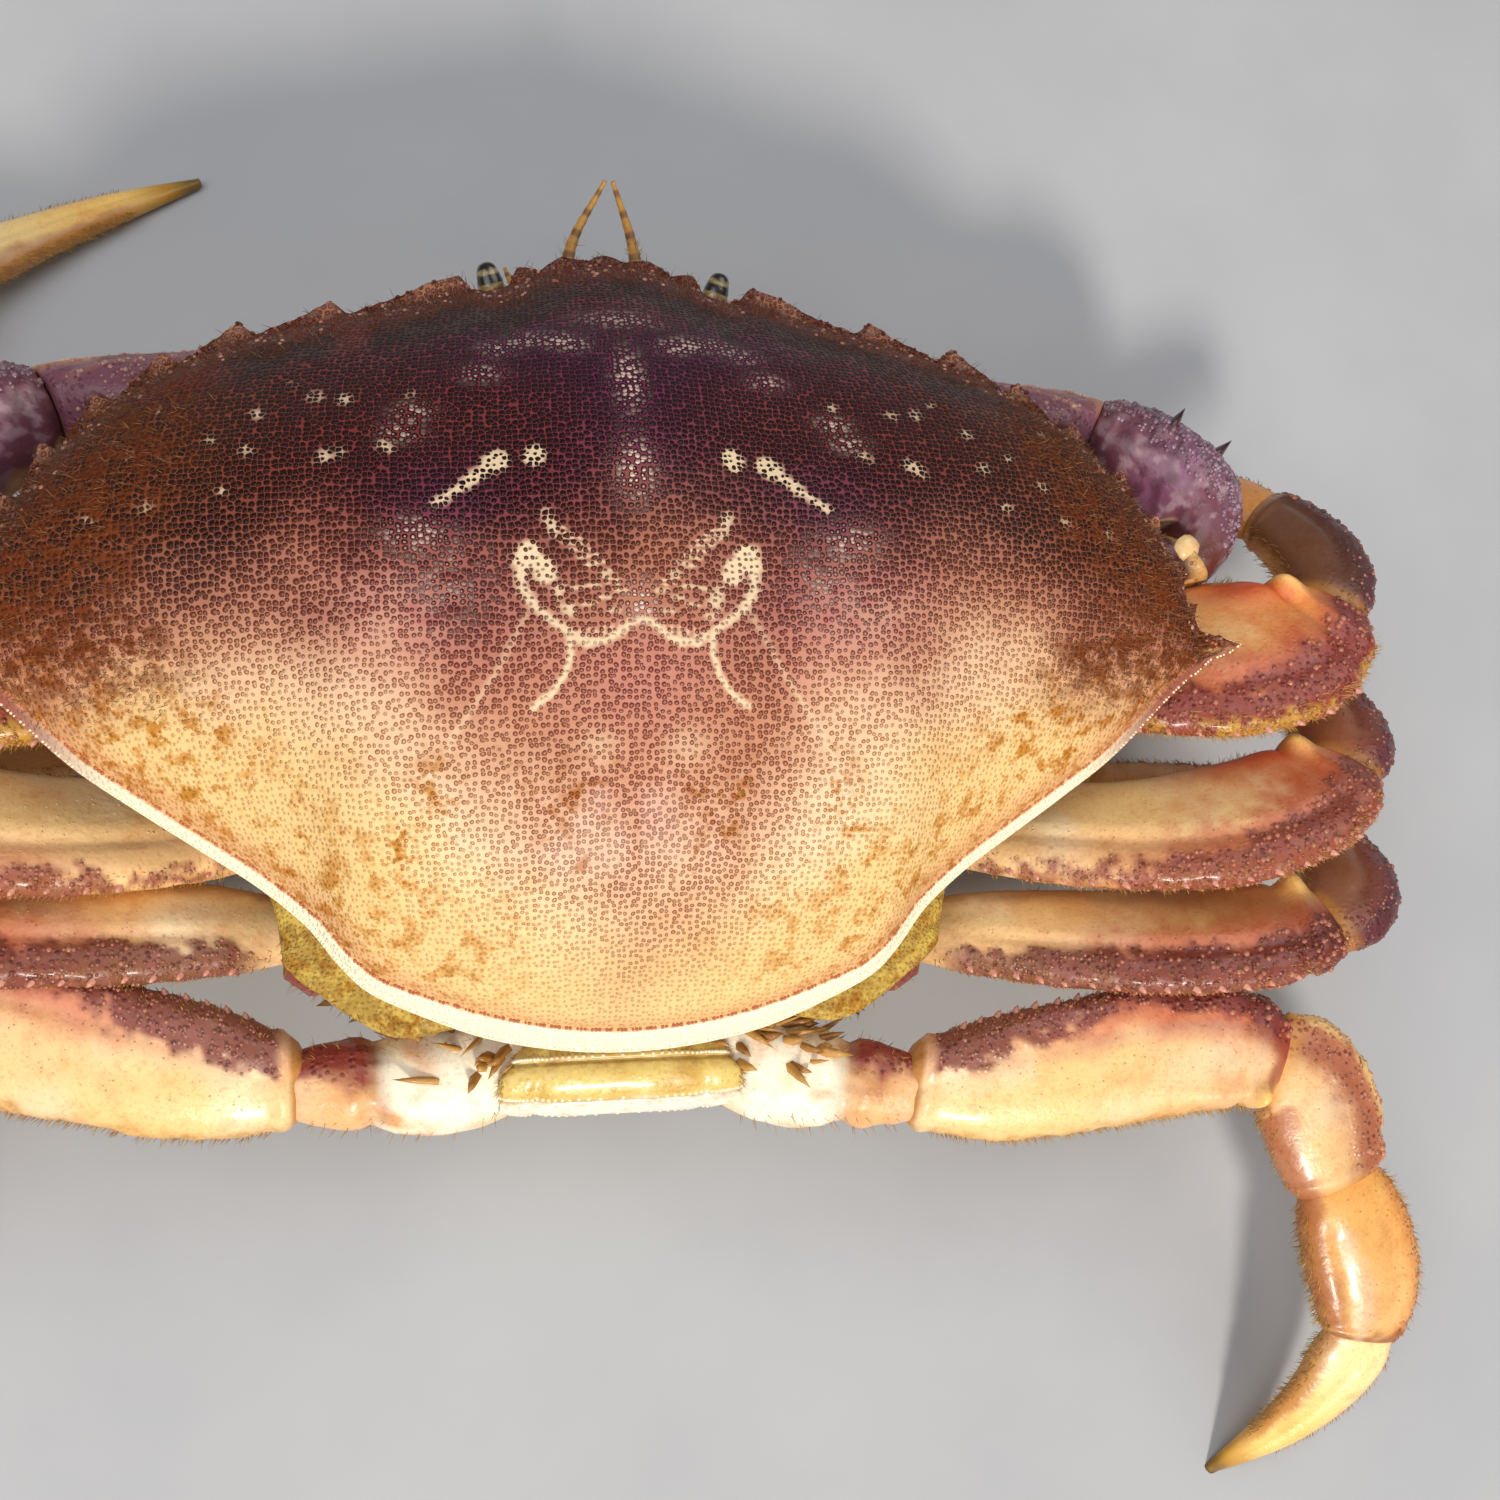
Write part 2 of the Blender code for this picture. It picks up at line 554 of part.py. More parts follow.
def build_claw_arm(group, side):
    """The claw arm: thigh, wrist piece, palm with fixed finger, and moving finger."""
    label = "left" if side < 0 else "right"

    def place(point):
        moved = Vector(point)
        return mirror_x(moved) if side < 0 else moved

    normal = wall_normal("cheliped")
    middle = wall_middle("cheliped")
    root_way = place((normal.x, normal.y, 0))
    root = place((middle.x, middle.y, CLAW_ROOT_Z)) + root_way * GAP
    elbow_way = place((0.76, 0.64, 0.12)).normalized()
    wrist_way = place((-0.86, 0.46, -0.22)).normalized()
    up = Vector((0, -0.25, 1))
    arm = [root, root + root_way * 7] + curve_points([place(ARM_MIDDLE), place(ELBOW)], 5)
    arm[-1] = place(ELBOW) - elbow_way * HALF_GAP
    arm_sizes = [(6.0, 6.0), (6.3, 6.6), (6.5, 7.6), (6.7, 8.2), (6.4, 8.2), (5.6, 7.8), (4.8, 6.4)]
    thigh = tube_shape(arm, arm_sizes, up, 12, end_ways=(root_way, elbow_way))
    add_object(f"cheliped_merus_{label}", thigh, group, "claw_arm_shell")

    wrist_form = [(0, 0.62, 0.60), (0.15, 0.80, 0.68), (0.45, 1.0, 0.96), (0.8, 0.88, 0.9),
                  (1, 0.64, 0.70)]
    elbow_up = (up - elbow_way * up.dot(elbow_way)).normalized()
    rings, _ = limb_rings(place(ELBOW), place(WRIST), elbow_way, wrist_way, elbow_up,
                          wrist_form, 18.0, 16.5, 12)
    wrist = add_object(f"cheliped_carpus_{label}", skin_rings(rings), group, "claw_arm_shell")
    wrist_spines = [spine_object(place((84, 34, 39)), place((87.4, 38.6, 41.5)), 1.5, group),
                    spine_object(place((90, 30, 39)), place((94.4, 33.6, 41.5)), 1.5, group)]
    fuse(wrist, wrist_spines)

    palm_start = place(WRIST) + wrist_way * HALF_GAP
    palm_path = curve_points([palm_start, place(PALM_MIDDLE), place(PALM_END)], 5)
    palm_sizes = sized([(5.6, 7.0), (7.2, 11.4), (7.6, 13.0), (7.4, 13.2), (6.0, 12.4)], 5)
    tilt = Vector(PALM_TILT)
    palm_way = (palm_path[-1] - palm_path[-2]).normalized()
    palm_shape = tube_shape(palm_path, palm_sizes, tilt, 14, end_ways=(wrist_way, palm_way))
    palm = add_object(f"cheliped_propodus_{label}", palm_shape, group, "claw_shell")
    finger_path = curve_points([place(p) for p in FIXED_FINGER], 5)
    finger_sizes = sized([(5.2, 5.4), (4.2, 4.4), (3.2, 3.4), (2.2, 2.2), (0.8, 0.9)], 5)
    extras = [add_object("finger", tube_shape(finger_path, finger_sizes, tilt, 10), group,
                         "claw_shell")]
    for share in (0.3, 0.48, 0.66, 0.82):
        base = spline_point([finger_path[0]] + finger_path + [finger_path[-1]], share)
        height = 4.9 * (1 - share) + 0.6
        extras.append(spine_object(base + Vector((0, 0, height - 1.4)),
                                   base + Vector((0, 0, height + 1.2)), 1.0, group))
    for share in (0.22, 0.4, 0.58, 0.76, 0.92):
        base = spline_point([palm_path[0]] + palm_path + [palm_path[-1]], share)
        outward = tilt.normalized()
        extras.append(spine_object(base + outward * 11.0, base + outward * 15.2, 1.4, group))
    fuse(palm, extras)

    knuckle_up = (tilt - palm_way * tilt.dot(palm_way)).normalized()
    knuckle = palm_path[-1] + knuckle_up * MOVING_FINGER_LIFT + palm_way * GAP
    moving_path = curve_points([knuckle] + [place(p) for p in MOVING_FINGER], 5)
    moving_sizes = sized([(4.6, 4.8), (4.4, 4.6), (3.3, 3.5), (2.2, 2.3), (0.8, 0.9)], 5)
    moving_shape = tube_shape(moving_path, moving_sizes, tilt, 10, end_ways=(palm_way, None))
    moving = add_object(f"cheliped_dactyl_{label}", moving_shape, group, "claw_shell")
    teeth = []
    for share in (0.34, 0.52, 0.7):
        base = spline_point([moving_path[0]] + moving_path + [moving_path[-1]], share)
        height = 4.9 * (1 - share) + 0.6
        teeth.append(spine_object(base - Vector((0, 0, height - 1.4)),
                                  base - Vector((0, 0, height + 1.0)), 1.0, group))
    fuse(moving, teeth)


def surface_root(tree, start, aim, radius):
    """Where a line first meets the carapace, lifted off so that a round root clears it."""
    way = (start - aim).normalized()
    place, normal, _, _ = tree.ray_cast(start, -way)
    facing = max(abs(normal.dot(way)), 0.3)
    slope = math.sqrt(max(0.0, 1 - facing * facing))
    return place + way * ((GAP + radius * slope) / facing)


def build_head(group, tree):
    """Eyes on short stalks, both pairs of feelers and the mouth plates."""
    upright = Vector((0, 0, 1))
    for side, label in ((1, "right"), (-1, "left")):
        eye_tip = Vector((side * 16.4, 54.6, 43.6))
        root = surface_root(tree, eye_tip, Vector((side * 12.5, 42.0, 38.0)), 1.3)
        eye_path = [root, root.lerp(eye_tip, 0.4), root.lerp(eye_tip, 0.75), eye_tip]
        shape = tube_shape(eye_path, [(1.3, 1.3), (1.7, 1.7), (2.1, 2.1), (1.0, 1.0)], upright, 10)
        add_object(f"eye_{label}", shape, group, "eye")

        tip = Vector((1.4 + side * 0.6, 71.0, 41.0))
        root = surface_root(tree, Vector((side * 4.6, 60.5, 40.5)),
                            Vector((side * 5.0, 44.0, 39.5)), 1.2)
        knee = Vector((side * 4.6, 59.5, 41.5))
        shape = tube_shape(curve_points([root, knee, tip], 6),
                           sized([(1.2, 1.2), (0.8, 0.8), (0.3, 0.3)], 6), upright, 6)
        add_object(f"antennule_{label}", shape, group, "feeler")

        root = surface_root(tree, Vector((side * 10.5, 58.0, 38.5)),
                            Vector((side * 9.5, 44.0, 38.0)), 1.2)
        tip = Vector((side * 13.5, 59.5, 35.5))
        middle = root.lerp(tip, 0.45) + Vector((0, 0, 0.8))
        shape = tube_shape(curve_points([root, middle, tip], 5),
                           sized([(1.2, 1.2), (0.7, 0.7), (0.28, 0.28)], 5), upright, 6)
        add_object(f"antenna_{label}", shape, group, "feeler")

        plate = [Vector((side * 6.3, 36.2, 15.0)), Vector((side * 6.4, 37.2, 22.0)),
                 Vector((side * 6.7, 41.0, 28.0)), Vector((side * 7.0, 44.6, 32.0))]
        shape = tube_shape(plate, [(4.2, 1.4), (5.8, 1.5), (6.0, 1.5), (5.0, 1.2)],
                           Vector((0, 1, 0)), 10, power=3.0)
        add_object(f"maxilliped_{label}", shape, group, "underside_shell")


def build_abdomen(group):
    """The tail, turned down behind the body and forward under the belly."""
    middle = [Vector((0, -50.3 - 0.2, 31.0)), Vector((0, -55.5, 32.2)), Vector((0, -58.9, 28.5)),
              Vector((0, -58.4, 21.0)), Vector((0, -54.6, 13.8)), Vector((0, -46.0, 10.6)),
              Vector((0, -30.0, 10.6)), Vector((0, -12.0, 10.6)), Vector((0, 2.0, 10.6))]
    sizes = [(11.0, 1.6), (13.6, 1.6), (14.6, 1.6), (14.0, 1.6), (13.4, 1.6), (12.8, 1.5),
             (11.0, 1.4), (7.0, 1.4), (2.2, 1.2)]
    rings = []
    guide = [2 * middle[0] - middle[1]] + middle + [2 * middle[-1] - middle[-2]]
    for index, point in enumerate(middle):
        way = (guide[index + 2] - guide[index]).normalized()
        across = Vector((1, 0, 0))
        width, height = sizes[index]
        rings.append(section(point, across, way.cross(across), width, height, 12, 3.2))
    return add_object("abdomen", skin_rings(rings), group, "underside_shell")


def settle(group):
    """Move every piece so that the origin is the bottom centre of the crab's box."""
    corners = [thing.matrix_world @ vert.co for thing in group.objects
               for vert in thing.data.vertices]
    low = Vector((min(c[i] for c in corners) for i in range(3)))
    high = Vector((max(c[i] for c in corners) for i in range(3)))
    shift = Vector(((low.x + high.x) / 2, (low.y + high.y) / 2, low.z))
    for thing in group.objects:
        thing.data.transform(Matrix.Translation(-shift))


def main():
    """Build the crab."""
    clear_scene()
    group = new_collection("dungeness_crab")
    carapace = build_carapace(group)
    build_sternum(group)
    build_abdomen(group)
    shape = bmesh.new()
    shape.from_mesh(carapace.data)
    bmesh.ops.scale(shape, vec=(1 / MM, 1 / MM, 1 / MM), verts=shape.verts)
    build_head(group, BVHTree.FromBMesh(shape))
    shape.free()
    for side in (1, -1):
        build_claw_arm(group, side)
        for number in LEG_JOINTS:
            build_leg(group, number, side)
    settle(group)


main()
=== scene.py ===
"""Dungeness crab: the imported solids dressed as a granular, glossy, hairy shell.

Working units are millimetres, as in the solids: X to the crab's right-hand edge of the
view, Y to its front, Z up from the floor, with the middle of the back over the origin.
"""

import math

import bpy
import numpy as np
from mathutils import Matrix, Vector
from mathutils.bvhtree import BVHTree


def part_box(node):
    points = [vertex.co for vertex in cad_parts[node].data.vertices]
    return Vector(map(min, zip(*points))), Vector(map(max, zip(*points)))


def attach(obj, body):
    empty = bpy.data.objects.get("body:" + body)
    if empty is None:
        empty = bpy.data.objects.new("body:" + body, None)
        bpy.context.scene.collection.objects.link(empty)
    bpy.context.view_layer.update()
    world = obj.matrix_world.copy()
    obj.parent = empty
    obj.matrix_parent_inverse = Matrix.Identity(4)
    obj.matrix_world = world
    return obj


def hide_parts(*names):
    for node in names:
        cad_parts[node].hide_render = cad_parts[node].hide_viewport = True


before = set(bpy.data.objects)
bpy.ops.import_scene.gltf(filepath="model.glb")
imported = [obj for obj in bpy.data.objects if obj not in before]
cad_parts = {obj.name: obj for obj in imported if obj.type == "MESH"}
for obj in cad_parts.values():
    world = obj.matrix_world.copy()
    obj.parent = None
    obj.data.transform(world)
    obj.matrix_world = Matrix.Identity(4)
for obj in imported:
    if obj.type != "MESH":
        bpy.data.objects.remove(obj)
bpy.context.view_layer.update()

# Shell sizes shared with the solids
TENTH_TOOTH = (87.2, -0.8)
BODY_CENTRE = (0.0, 2.0)
FRONT_MIDLINE_Y = 56.9
DOME_RISE = 27.0
DOME_SPREAD = 0.85
DOME_POWER = 0.9
FRONT_MARGIN_Z = 45.5
SIDE_MARGIN_Z = 50.0
REAR_MARGIN_Z = 39.0
MARGIN_THICKNESS = 2.4
TEETH = 9
TOOTH_DEPTH = 2.3
FRONTAL_EDGE = [(0, 56.9), (2.6, 55.7), (6.2, 56.2), (9.2, 53.9), (12.4, 54.2),
                (13.6, 51.2), (16.4, 50.0), (18.8, 50.6), (20.6, 52.6)]
FRONTAL_BASE = [(0, 55.6), (2.6, 55.2), (6.2, 54.6), (9.2, 53.4), (12.4, 52.6),
                (13.6, 51.2), (16.4, 50.0), (18.8, 50.2), (20.6, 50.8)]
TOOTH_ARC = [(12, 54.5), (20.6, 52.0), (36, 48.0), (51, 42.8), (62.5, 36.0), (71.5, 27.0),
             (77.6, 18.0), (80.8, 9.0), (82.6, 1.8), (83, -4)]
REAR_ARC = [(84, -1), (81.8, -3.6), (77.0, -7.6), (68.0, -15.9), (60.0, -21.6), (52.5, -26.6),
            (46.0, -31.0), (40.4, -35.8), (36.4, -40.8), (32.6, -44.4), (26.0, -47.6),
            (18.0, -50.6), (9.0, -52.4), (0.0, -53.0), (-9, -52.4)]
REGIONS = [(15, 34, 11, 0.9), (0, 18, 13, 0.9), (45, 12, 18, 0.8), (5, -18, 7, 0.9),
           (14, 2, 7, -0.9), (17, -16, 7, -0.8), (24, 24, 7, -0.6), (38, -16, 16, 0.8)]
BELLY_Z = 12.5
WALL_TOP_FRONT = 29.0
WALL_TOP_SLOPE = -0.1
WALLS = {"front": (90, 34.0), "cheliped": (30, 35.5), "leg2": (2, 34.5), "leg3": (-18, 35.5),
         "leg4": (-38, 40.0), "leg5": (-60, 46.5), "rear": (-90, 50.0)}
BREAST_CHAMFER = 5.0

LEG_JOINTS = {
    2: [(48, 5, 26), (108, 8, 38), (106, 27, 27), (73, 32, 12), (46, 33, -0.6)],
    3: [(47, -22, 25.5), (108, -16.5, 36.5), (109, 0, 23), (82, 10, 11), (57, 13, -0.6)],
    4: [(44, -37.5, 26), (103, -39, 35.5), (109, -23, 23), (80, -13, 10), (55, -8, -0.6)],
    5: [(42, -59.5, 28), (96, -58, 30), (106.5, -76, 25), (111.5, -99, 17), (93, -120, -0.6)],
}
REACHING_LEG = [(48, 4.5, 26), (107.5, 8.5, 34.5), (117, 35, 25), (97, 69, 7.0), (60.5, 91, 1.0)]
LEG_ROOT_Z = {2: 20.5, 3: 20.5, 4: 21.5, 5: 25.0}
LEG_DEPTH = {2: 20.0, 3: 19.0, 4: 17.0, 5: 17.6}
OUTER_BREADTH = {2: 0.9, 3: 0.92, 4: 1.0, 5: 1.3}
LEG_THICKNESS = {2: 9.4, 3: 9.2, 4: 8.6, 5: 8.4}
ELBOW_SHARE = {2: 0.55, 3: 0.5, 4: 0.25, 5: 0.35}
LEFT_SWEEP = {2: 0.0, 3: 4.0, 4: 7.0, 5: 8.0}
LEG_FORMS = {
    "base": [(0, 0.66, 1.24), (0.35, 0.74, 1.30), (0.75, 0.68, 1.12), (1, 0.56, 0.92)],
    "merus": [(0, 0.56, 0.80), (0.1, 0.74, 0.92), (0.3, 0.92, 1.0), (0.6, 1.0, 1.0),
              (0.84, 0.96, 0.98), (0.95, 0.82, 0.92), (1, 0.66, 0.78)],
    "carpus": [(0, 0.62, 0.74), (0.15, 0.76, 0.88), (0.5, 0.82, 0.94), (0.82, 0.74, 0.88),
               (1, 0.60, 0.74)],
    "propodus": [(0, 0.56, 0.70), (0.15, 0.70, 0.80), (0.45, 0.78, 0.78), (0.8, 0.70, 0.70),
                 (1, 0.54, 0.58)],
    "dactyl": [(0, 0.50, 0.54), (0.12, 0.56, 0.58), (0.4, 0.46, 0.50), (0.75, 0.27, 0.32),
               (1, 0.08, 0.15)],
}
LEG_PIECES = ["base", "merus", "carpus", "propodus", "dactyl"]
HALF_GAP = 0.15

CLAW_ROOT_Z = 19.5
ARM_MIDDLE = (48, 24.5, 24)
ELBOW = (87.5, 17.0, 34.0)
WRIST = (76.0, 37.5, 32.0)
PALM_MIDDLE = (58, 39.5, 28.0)
PALM_END = (41, 45.0, 24.5)
FIXED_FINGER = [(44, 44.5, 18.0), (26, 51.5, 14.2), (5.2, 58.7, 14.0)]
MOVING_FINGER = [(25, 51.6, 25.6), (6.4, 58.3, 17.2)]
MOVING_FINGER_LIFT = 6.2
PALM_TILT = (0, -0.32, 1)

# Colours, as seen in even light, 0 to 255
CREAM = (243, 212, 160)
IVORY = (252, 240, 208)
AMBER = (212, 150, 62)
PLUM = (88, 40, 58)
BROWN = (98, 50, 26)

# The shell's rings stand on a flat chart, whose unit is this many millimetres
CHART_UNIT = 100.0
RING_SPACING = 0.81

# The working frame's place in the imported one, from the shell's tooth tips and front
SHELL_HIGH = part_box("carapace")[1]
SHIFT = np.array([TENTH_TOOTH[0] - SHELL_HIGH[0] * 1000,
                  FRONT_MIDLINE_Y - SHELL_HIGH[1] * 1000, 0.0])


def paint(colour):
    """A colour of 0 to 255 as linear light."""
    c = np.asarray(colour, float) / 255
    return np.where(c <= 0.04045, c / 12.92, ((c + 0.055) / 1.055) ** 2.4)


def ramp(value, low, high):
    """Smooth 0 to 1 as value goes from low to high; also falls where low is above high."""
    t = np.clip((value - low) / (high - low), 0.0, 1.0)
    return t * t * (3 - 2 * t)


def blend(first, second, share):
    """Colours mixed by a share for each point."""
    share = np.asarray(share)[..., None]
    return first * (1 - share) + second * share


def layered(ground, *layers):
    """The ground with colours of 0 to 255 laid over it in turn, each by its share."""
    tint = paint(ground) if isinstance(ground, tuple) else ground
    for colour, share in layers:
        tint = blend(tint, paint(colour), share)
    return tint


def masked(granule, dirt=0.0, membrane=0.0):
    """The masks of limb_material for each point: granules, dirt and joint skin."""
    return np.stack(np.broadcast_arrays(granule, dirt, membrane, 1.0), -1)


def bell(value, centre, width):
    """1 at the centre, falling smoothly to 0 on both sides."""
    return np.exp(-((value - centre) / width) ** 2)


def circle(sides):
    """Cosine and sine of even steps round a circle."""
    angle = np.arange(sides) * 2 * math.pi / sides
    return np.cos(angle), np.sin(angle)


def squared(wave, power):
    """A cosine or sine swollen from a circle (power 2) towards a box."""
    return np.sign(wave) * np.abs(wave) ** (2 / power)


def unit(vector):
    """Vectors scaled to length one."""
    return vector / np.maximum(np.linalg.norm(vector, axis=-1, keepdims=True), 1e-9)


def noise(points, size, seed=0):
    """Smooth value noise from -1 to 1, with swellings of about the given size."""
    p = np.asarray(points, float) / size + seed * 17.31
    cell = np.floor(p).astype(np.int64)
    f = p - cell
    f = f * f * (3 - 2 * f)
    total = 0.0
    for dx in (0, 1):
        for dy in (0, 1):
            for dz in (0, 1):
                k = ((cell[..., 0] + dx) * 73856093) ^ ((cell[..., 1] + dy) * 19349663) \
                    ^ ((cell[..., 2] + dz) * 83492791)
                k = (k ^ (k >> 13)) * 1274126177 & 0x7FFFFFFF
                value = (k % 65521) / 32760.5 - 1
                total = total + value * np.abs(1 - dx - f[..., 0]) * np.abs(1 - dy - f[..., 1]) \
                    * np.abs(1 - dz - f[..., 2])
    return total


def flow(x, xs, ys):
    """Smooth curve through the given places, without overshoot."""
    xs, ys = np.asarray(xs, float), np.asarray(ys, float)
    slope = np.diff(ys) / np.diff(xs)
    tangent = np.zeros(len(xs))
    inner = slope[:-1] * slope[1:]
    both = np.where(inner > 0, slope[:-1] + slope[1:], 1)
    tangent[1:-1] = np.where(inner > 0, 2 * inner / both, 0)
    tangent[0], tangent[-1] = slope[0], slope[-1]
    i = np.clip(np.searchsorted(xs, x) - 1, 0, len(xs) - 2)
    h = xs[i + 1] - xs[i]
    t = np.clip((x - xs[i]) / h, 0, 1)
    return ((2 * t ** 3 - 3 * t ** 2 + 1) * ys[i] + (t ** 3 - 2 * t ** 2 + t) * h * tangent[i]
            + (3 * t ** 2 - 2 * t ** 3) * ys[i + 1] + (t ** 3 - t ** 2) * h * tangent[i + 1])


def add_colours(mesh, name, values):
    """A colour attribute of a mesh from three or four values for each point."""
    full = np.ones((len(values), 4))
    full[:, :values.shape[1]] = values
    layer = mesh.color_attributes.new(name, "FLOAT_COLOR", "POINT")
    layer.data.foreach_set("color", full.ravel())


class Piece:
    """Surfaces gathered into one mesh, each point with its colour and masks."""

    def __init__(self):
        self.points, self.tints, self.masks, self.charts, self.faces = [], [], [], [], []
        self.count = 0

    def add(self, points, faces, tint, mask=(0, 0, 0, 0), chart=None):
        """Add points (n, 3), a list of face arrays, and a colour and masks for each point."""
        points = np.asarray(points, float).reshape(-1, 3)
        n = len(points)
        self.points.append(points)
        self.tints.append(np.broadcast_to(np.asarray(tint, float), (n, 3)))
        self.masks.append(np.broadcast_to(np.asarray(mask, float), (n, 4)))
        self.charts.append(np.zeros((n, 2)) if chart is None else chart)
        self.faces += [np.asarray(f) + self.count for f in faces]
        self.count += n

    def add_tube(self, rings, tint, mask=(0, 0, 0, 0)):
        """Add a closed tube of rings, with values for each point or one for all."""
        tint, mask = (hub_values(v) if np.ndim(v) > 1 else v for v in (tint, mask))
        flip = not outward_winding(rings)
        self.add(with_hubs(rings), grid_faces(*rings.shape[:2], flip=flip), tint, mask)

    def build(self, name, material, slot, nodes=(), chart_name="chart"):
        """The Blender object, riding on the body and standing for its nodes."""
        points = (np.vstack(self.points) - SHIFT) * 0.001
        points[:, 2] = np.maximum(points[:, 2], 0)  # nothing pokes through the floor
        mesh = bpy.data.meshes.new(name)
        mesh.vertices.add(len(points))
        mesh.vertices.foreach_set("co", points.ravel())
        corners = np.concatenate([f.ravel() for f in self.faces])
        sizes = np.concatenate([np.full(len(f), f.shape[1]) for f in self.faces])
        starts = np.concatenate([[0], np.cumsum(sizes)[:-1]])
        mesh.loops.add(len(corners))
        mesh.loops.foreach_set("vertex_index", corners.astype(np.int32))
        mesh.polygons.add(len(sizes))
        mesh.polygons.foreach_set("loop_start", starts.astype(np.int32))
        mesh.update(calc_edges=True)
        add_colours(mesh, "tint", np.vstack(self.tints))
        add_colours(mesh, "mask", np.vstack(self.masks))
        chart = np.vstack(self.charts)
        if chart.any():
            layer = mesh.uv_layers.new(name=chart_name)
            layer.data.foreach_set("uv", chart[corners].ravel())
        mesh.shade_smooth()
        mesh.materials.append(material)
        thing = bpy.data.objects.new(name, mesh)
        bpy.context.scene.collection.objects.link(thing)
        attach(thing, "root")
        if nodes:
            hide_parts(*nodes)
        return thing


def grid_faces(rows, columns, flip=False):
    """Quads of a tube of rings, and the fans that close it on the two last points."""
    i = np.arange(rows - 1)[:, None] * columns
    j = np.arange(columns)[None, :]
    k = (j + 1) % columns
    quads = np.stack([i + j, i + k, i + columns + k, i + columns + j], -1).reshape(-1, 4)
    hub = rows * columns
    j, k = j[0], k[0]
    last = (rows - 1) * columns
    fans = np.vstack([np.stack([k, j, np.full(columns, hub)], -1),
                      np.stack([last + j, last + k, np.full(columns, hub + 1)], -1)])
    if flip:
        quads, fans = quads[:, ::-1], fans[:, ::-1]
    return [quads, fans]


def with_hubs(rings):
    """Ring points and the two middles that close the ends."""
    return np.vstack([rings.reshape(-1, 3), rings[0].mean(0)[None], rings[-1].mean(0)[None]])


def hub_values(values):
    """Values of ring points, extended to the two middles."""
    flat = values.reshape(-1, values.shape[-1])
    columns = values.shape[1]
    return np.vstack([flat, flat[:columns].mean(0)[None], flat[-columns:].mean(0)[None]])


def ring_normals(rings):
    """Outward direction of each ring point, from its neighbours."""
    along = np.gradient(rings, axis=0)
    around = np.roll(rings, -1, 1) - np.roll(rings, 1, 1)
    normal = unit(np.cross(around, along))
    outward = rings - rings.mean(1, keepdims=True)
    turn = np.sign((normal * outward).sum(-1).mean(1))[:, None, None]
    return normal * np.where(turn == 0, 1, turn)


def outward_winding(rings):
    """True if the quads of these rings already face outward."""
    a, b, c = rings[:-1], np.roll(rings[:-1], -1, 1), rings[1:]
    normal = np.cross(b - a, c - a)
    outward = a - rings[:-1].mean(1, keepdims=True)
    return (normal * outward).sum() > 0


# Small forms that are repeated many times

def small_form(sides, low, middle, shrink, top):
    """A closed form of two rings and a top, on a base of radius one."""
    c, s = circle(sides)
    ring = np.stack([c, s, np.zeros(sides)], -1)
    points = np.vstack([ring + (0, 0, low), ring * shrink + (0, 0, middle), [[0, 0, top]]])
    j = np.arange(sides)
    k = (j + 1) % sides
    quads = np.stack([j, k, sides + k, sides + j], -1)
    fans = np.stack([sides + j, sides + k, np.full(sides, 2 * sides)], -1)
    return points, [quads, fans]


def dome_form(sides=6):
    """A low bead."""
    return small_form(sides, -0.5, 0.55, 0.78, 0.9)


def spine_form(sides=5):
    """A slim cone of height one."""
    return small_form(sides, -0.15, 0.45, 0.7, 1.0)


def side_of(ways):
    """A direction square to each of the given unit directions."""
    helper = np.where(np.abs(ways[:, 2:3]) < 0.9, [[0, 0, 1.0]], [[1.0, 0, 0]])
    return unit(np.cross(ways, helper))


def scatter(piece, form, roots, normals, radii, heights, tint, mask=(0, 0, 0, 0)):
    """Copies of a small form standing on the given roots."""
    if len(roots) == 0:
        return
    points, faces = form
    n, m = len(roots), len(points)
    normals = unit(normals)
    side = side_of(normals)
    other = np.cross(normals, side)
    radii = np.broadcast_to(radii, n)[:, None, None]
    heights = np.broadcast_to(heights, n)[:, None, None]
    made = roots[:, None] + side[:, None] * points[None, :, :1] * radii \
        + other[:, None] * points[None, :, 1:2] * radii \
        + normals[:, None] * points[None, :, 2:3] * heights
    offset = (np.arange(n) * m)[:, None, None]
    joined = [(f[None] + offset).reshape(-1, f.shape[1]) for f in faces]
    tint = np.broadcast_to(np.asarray(tint, float), (n, 3))
    mask = np.broadcast_to(np.asarray(mask, float), (n, 4))
    piece.add(made.reshape(-1, 3), joined, np.repeat(tint, m, 0), np.repeat(mask, m, 0))


def stand(piece, form, root, way, radius, height, colour):
    """One small form at a place, in a colour of 0 to 255."""
    scatter(piece, form, np.array([root]), np.array([way]), radius, height, paint(colour),
            (0, 0, 0, 1))


def add_granules(piece, generator, roots, normals, sizes, tint, colour, share, granule):
    """Beads of mixed size, and of the tint mixed with up to a share of a colour."""
    count = len(roots)
    size = generator.uniform(*sizes, count)
    shade = layered(tint, (colour, generator.random(count) * share))
    scatter(piece, dome_form(), roots, normals, size, size * 0.8, shade, (granule, 0, 0, 1))


# Corners of one hair: three at its root, three half way and its tip
HAIR_POINTS = 7
HAIR_QUADS = np.array([(0, 1, 4, 3), (1, 2, 5, 4), (2, 0, 3, 5)])
HAIR_TIPS = np.array([(3, 4, 6), (4, 5, 6), (5, 3, 6)])
HAIR_CHART = np.array([(-1, -1), (1, -1), (0, 1), (-0.6, 0), (0.6, 0), (0, 0.6), (0, 0)]) * 0.0014


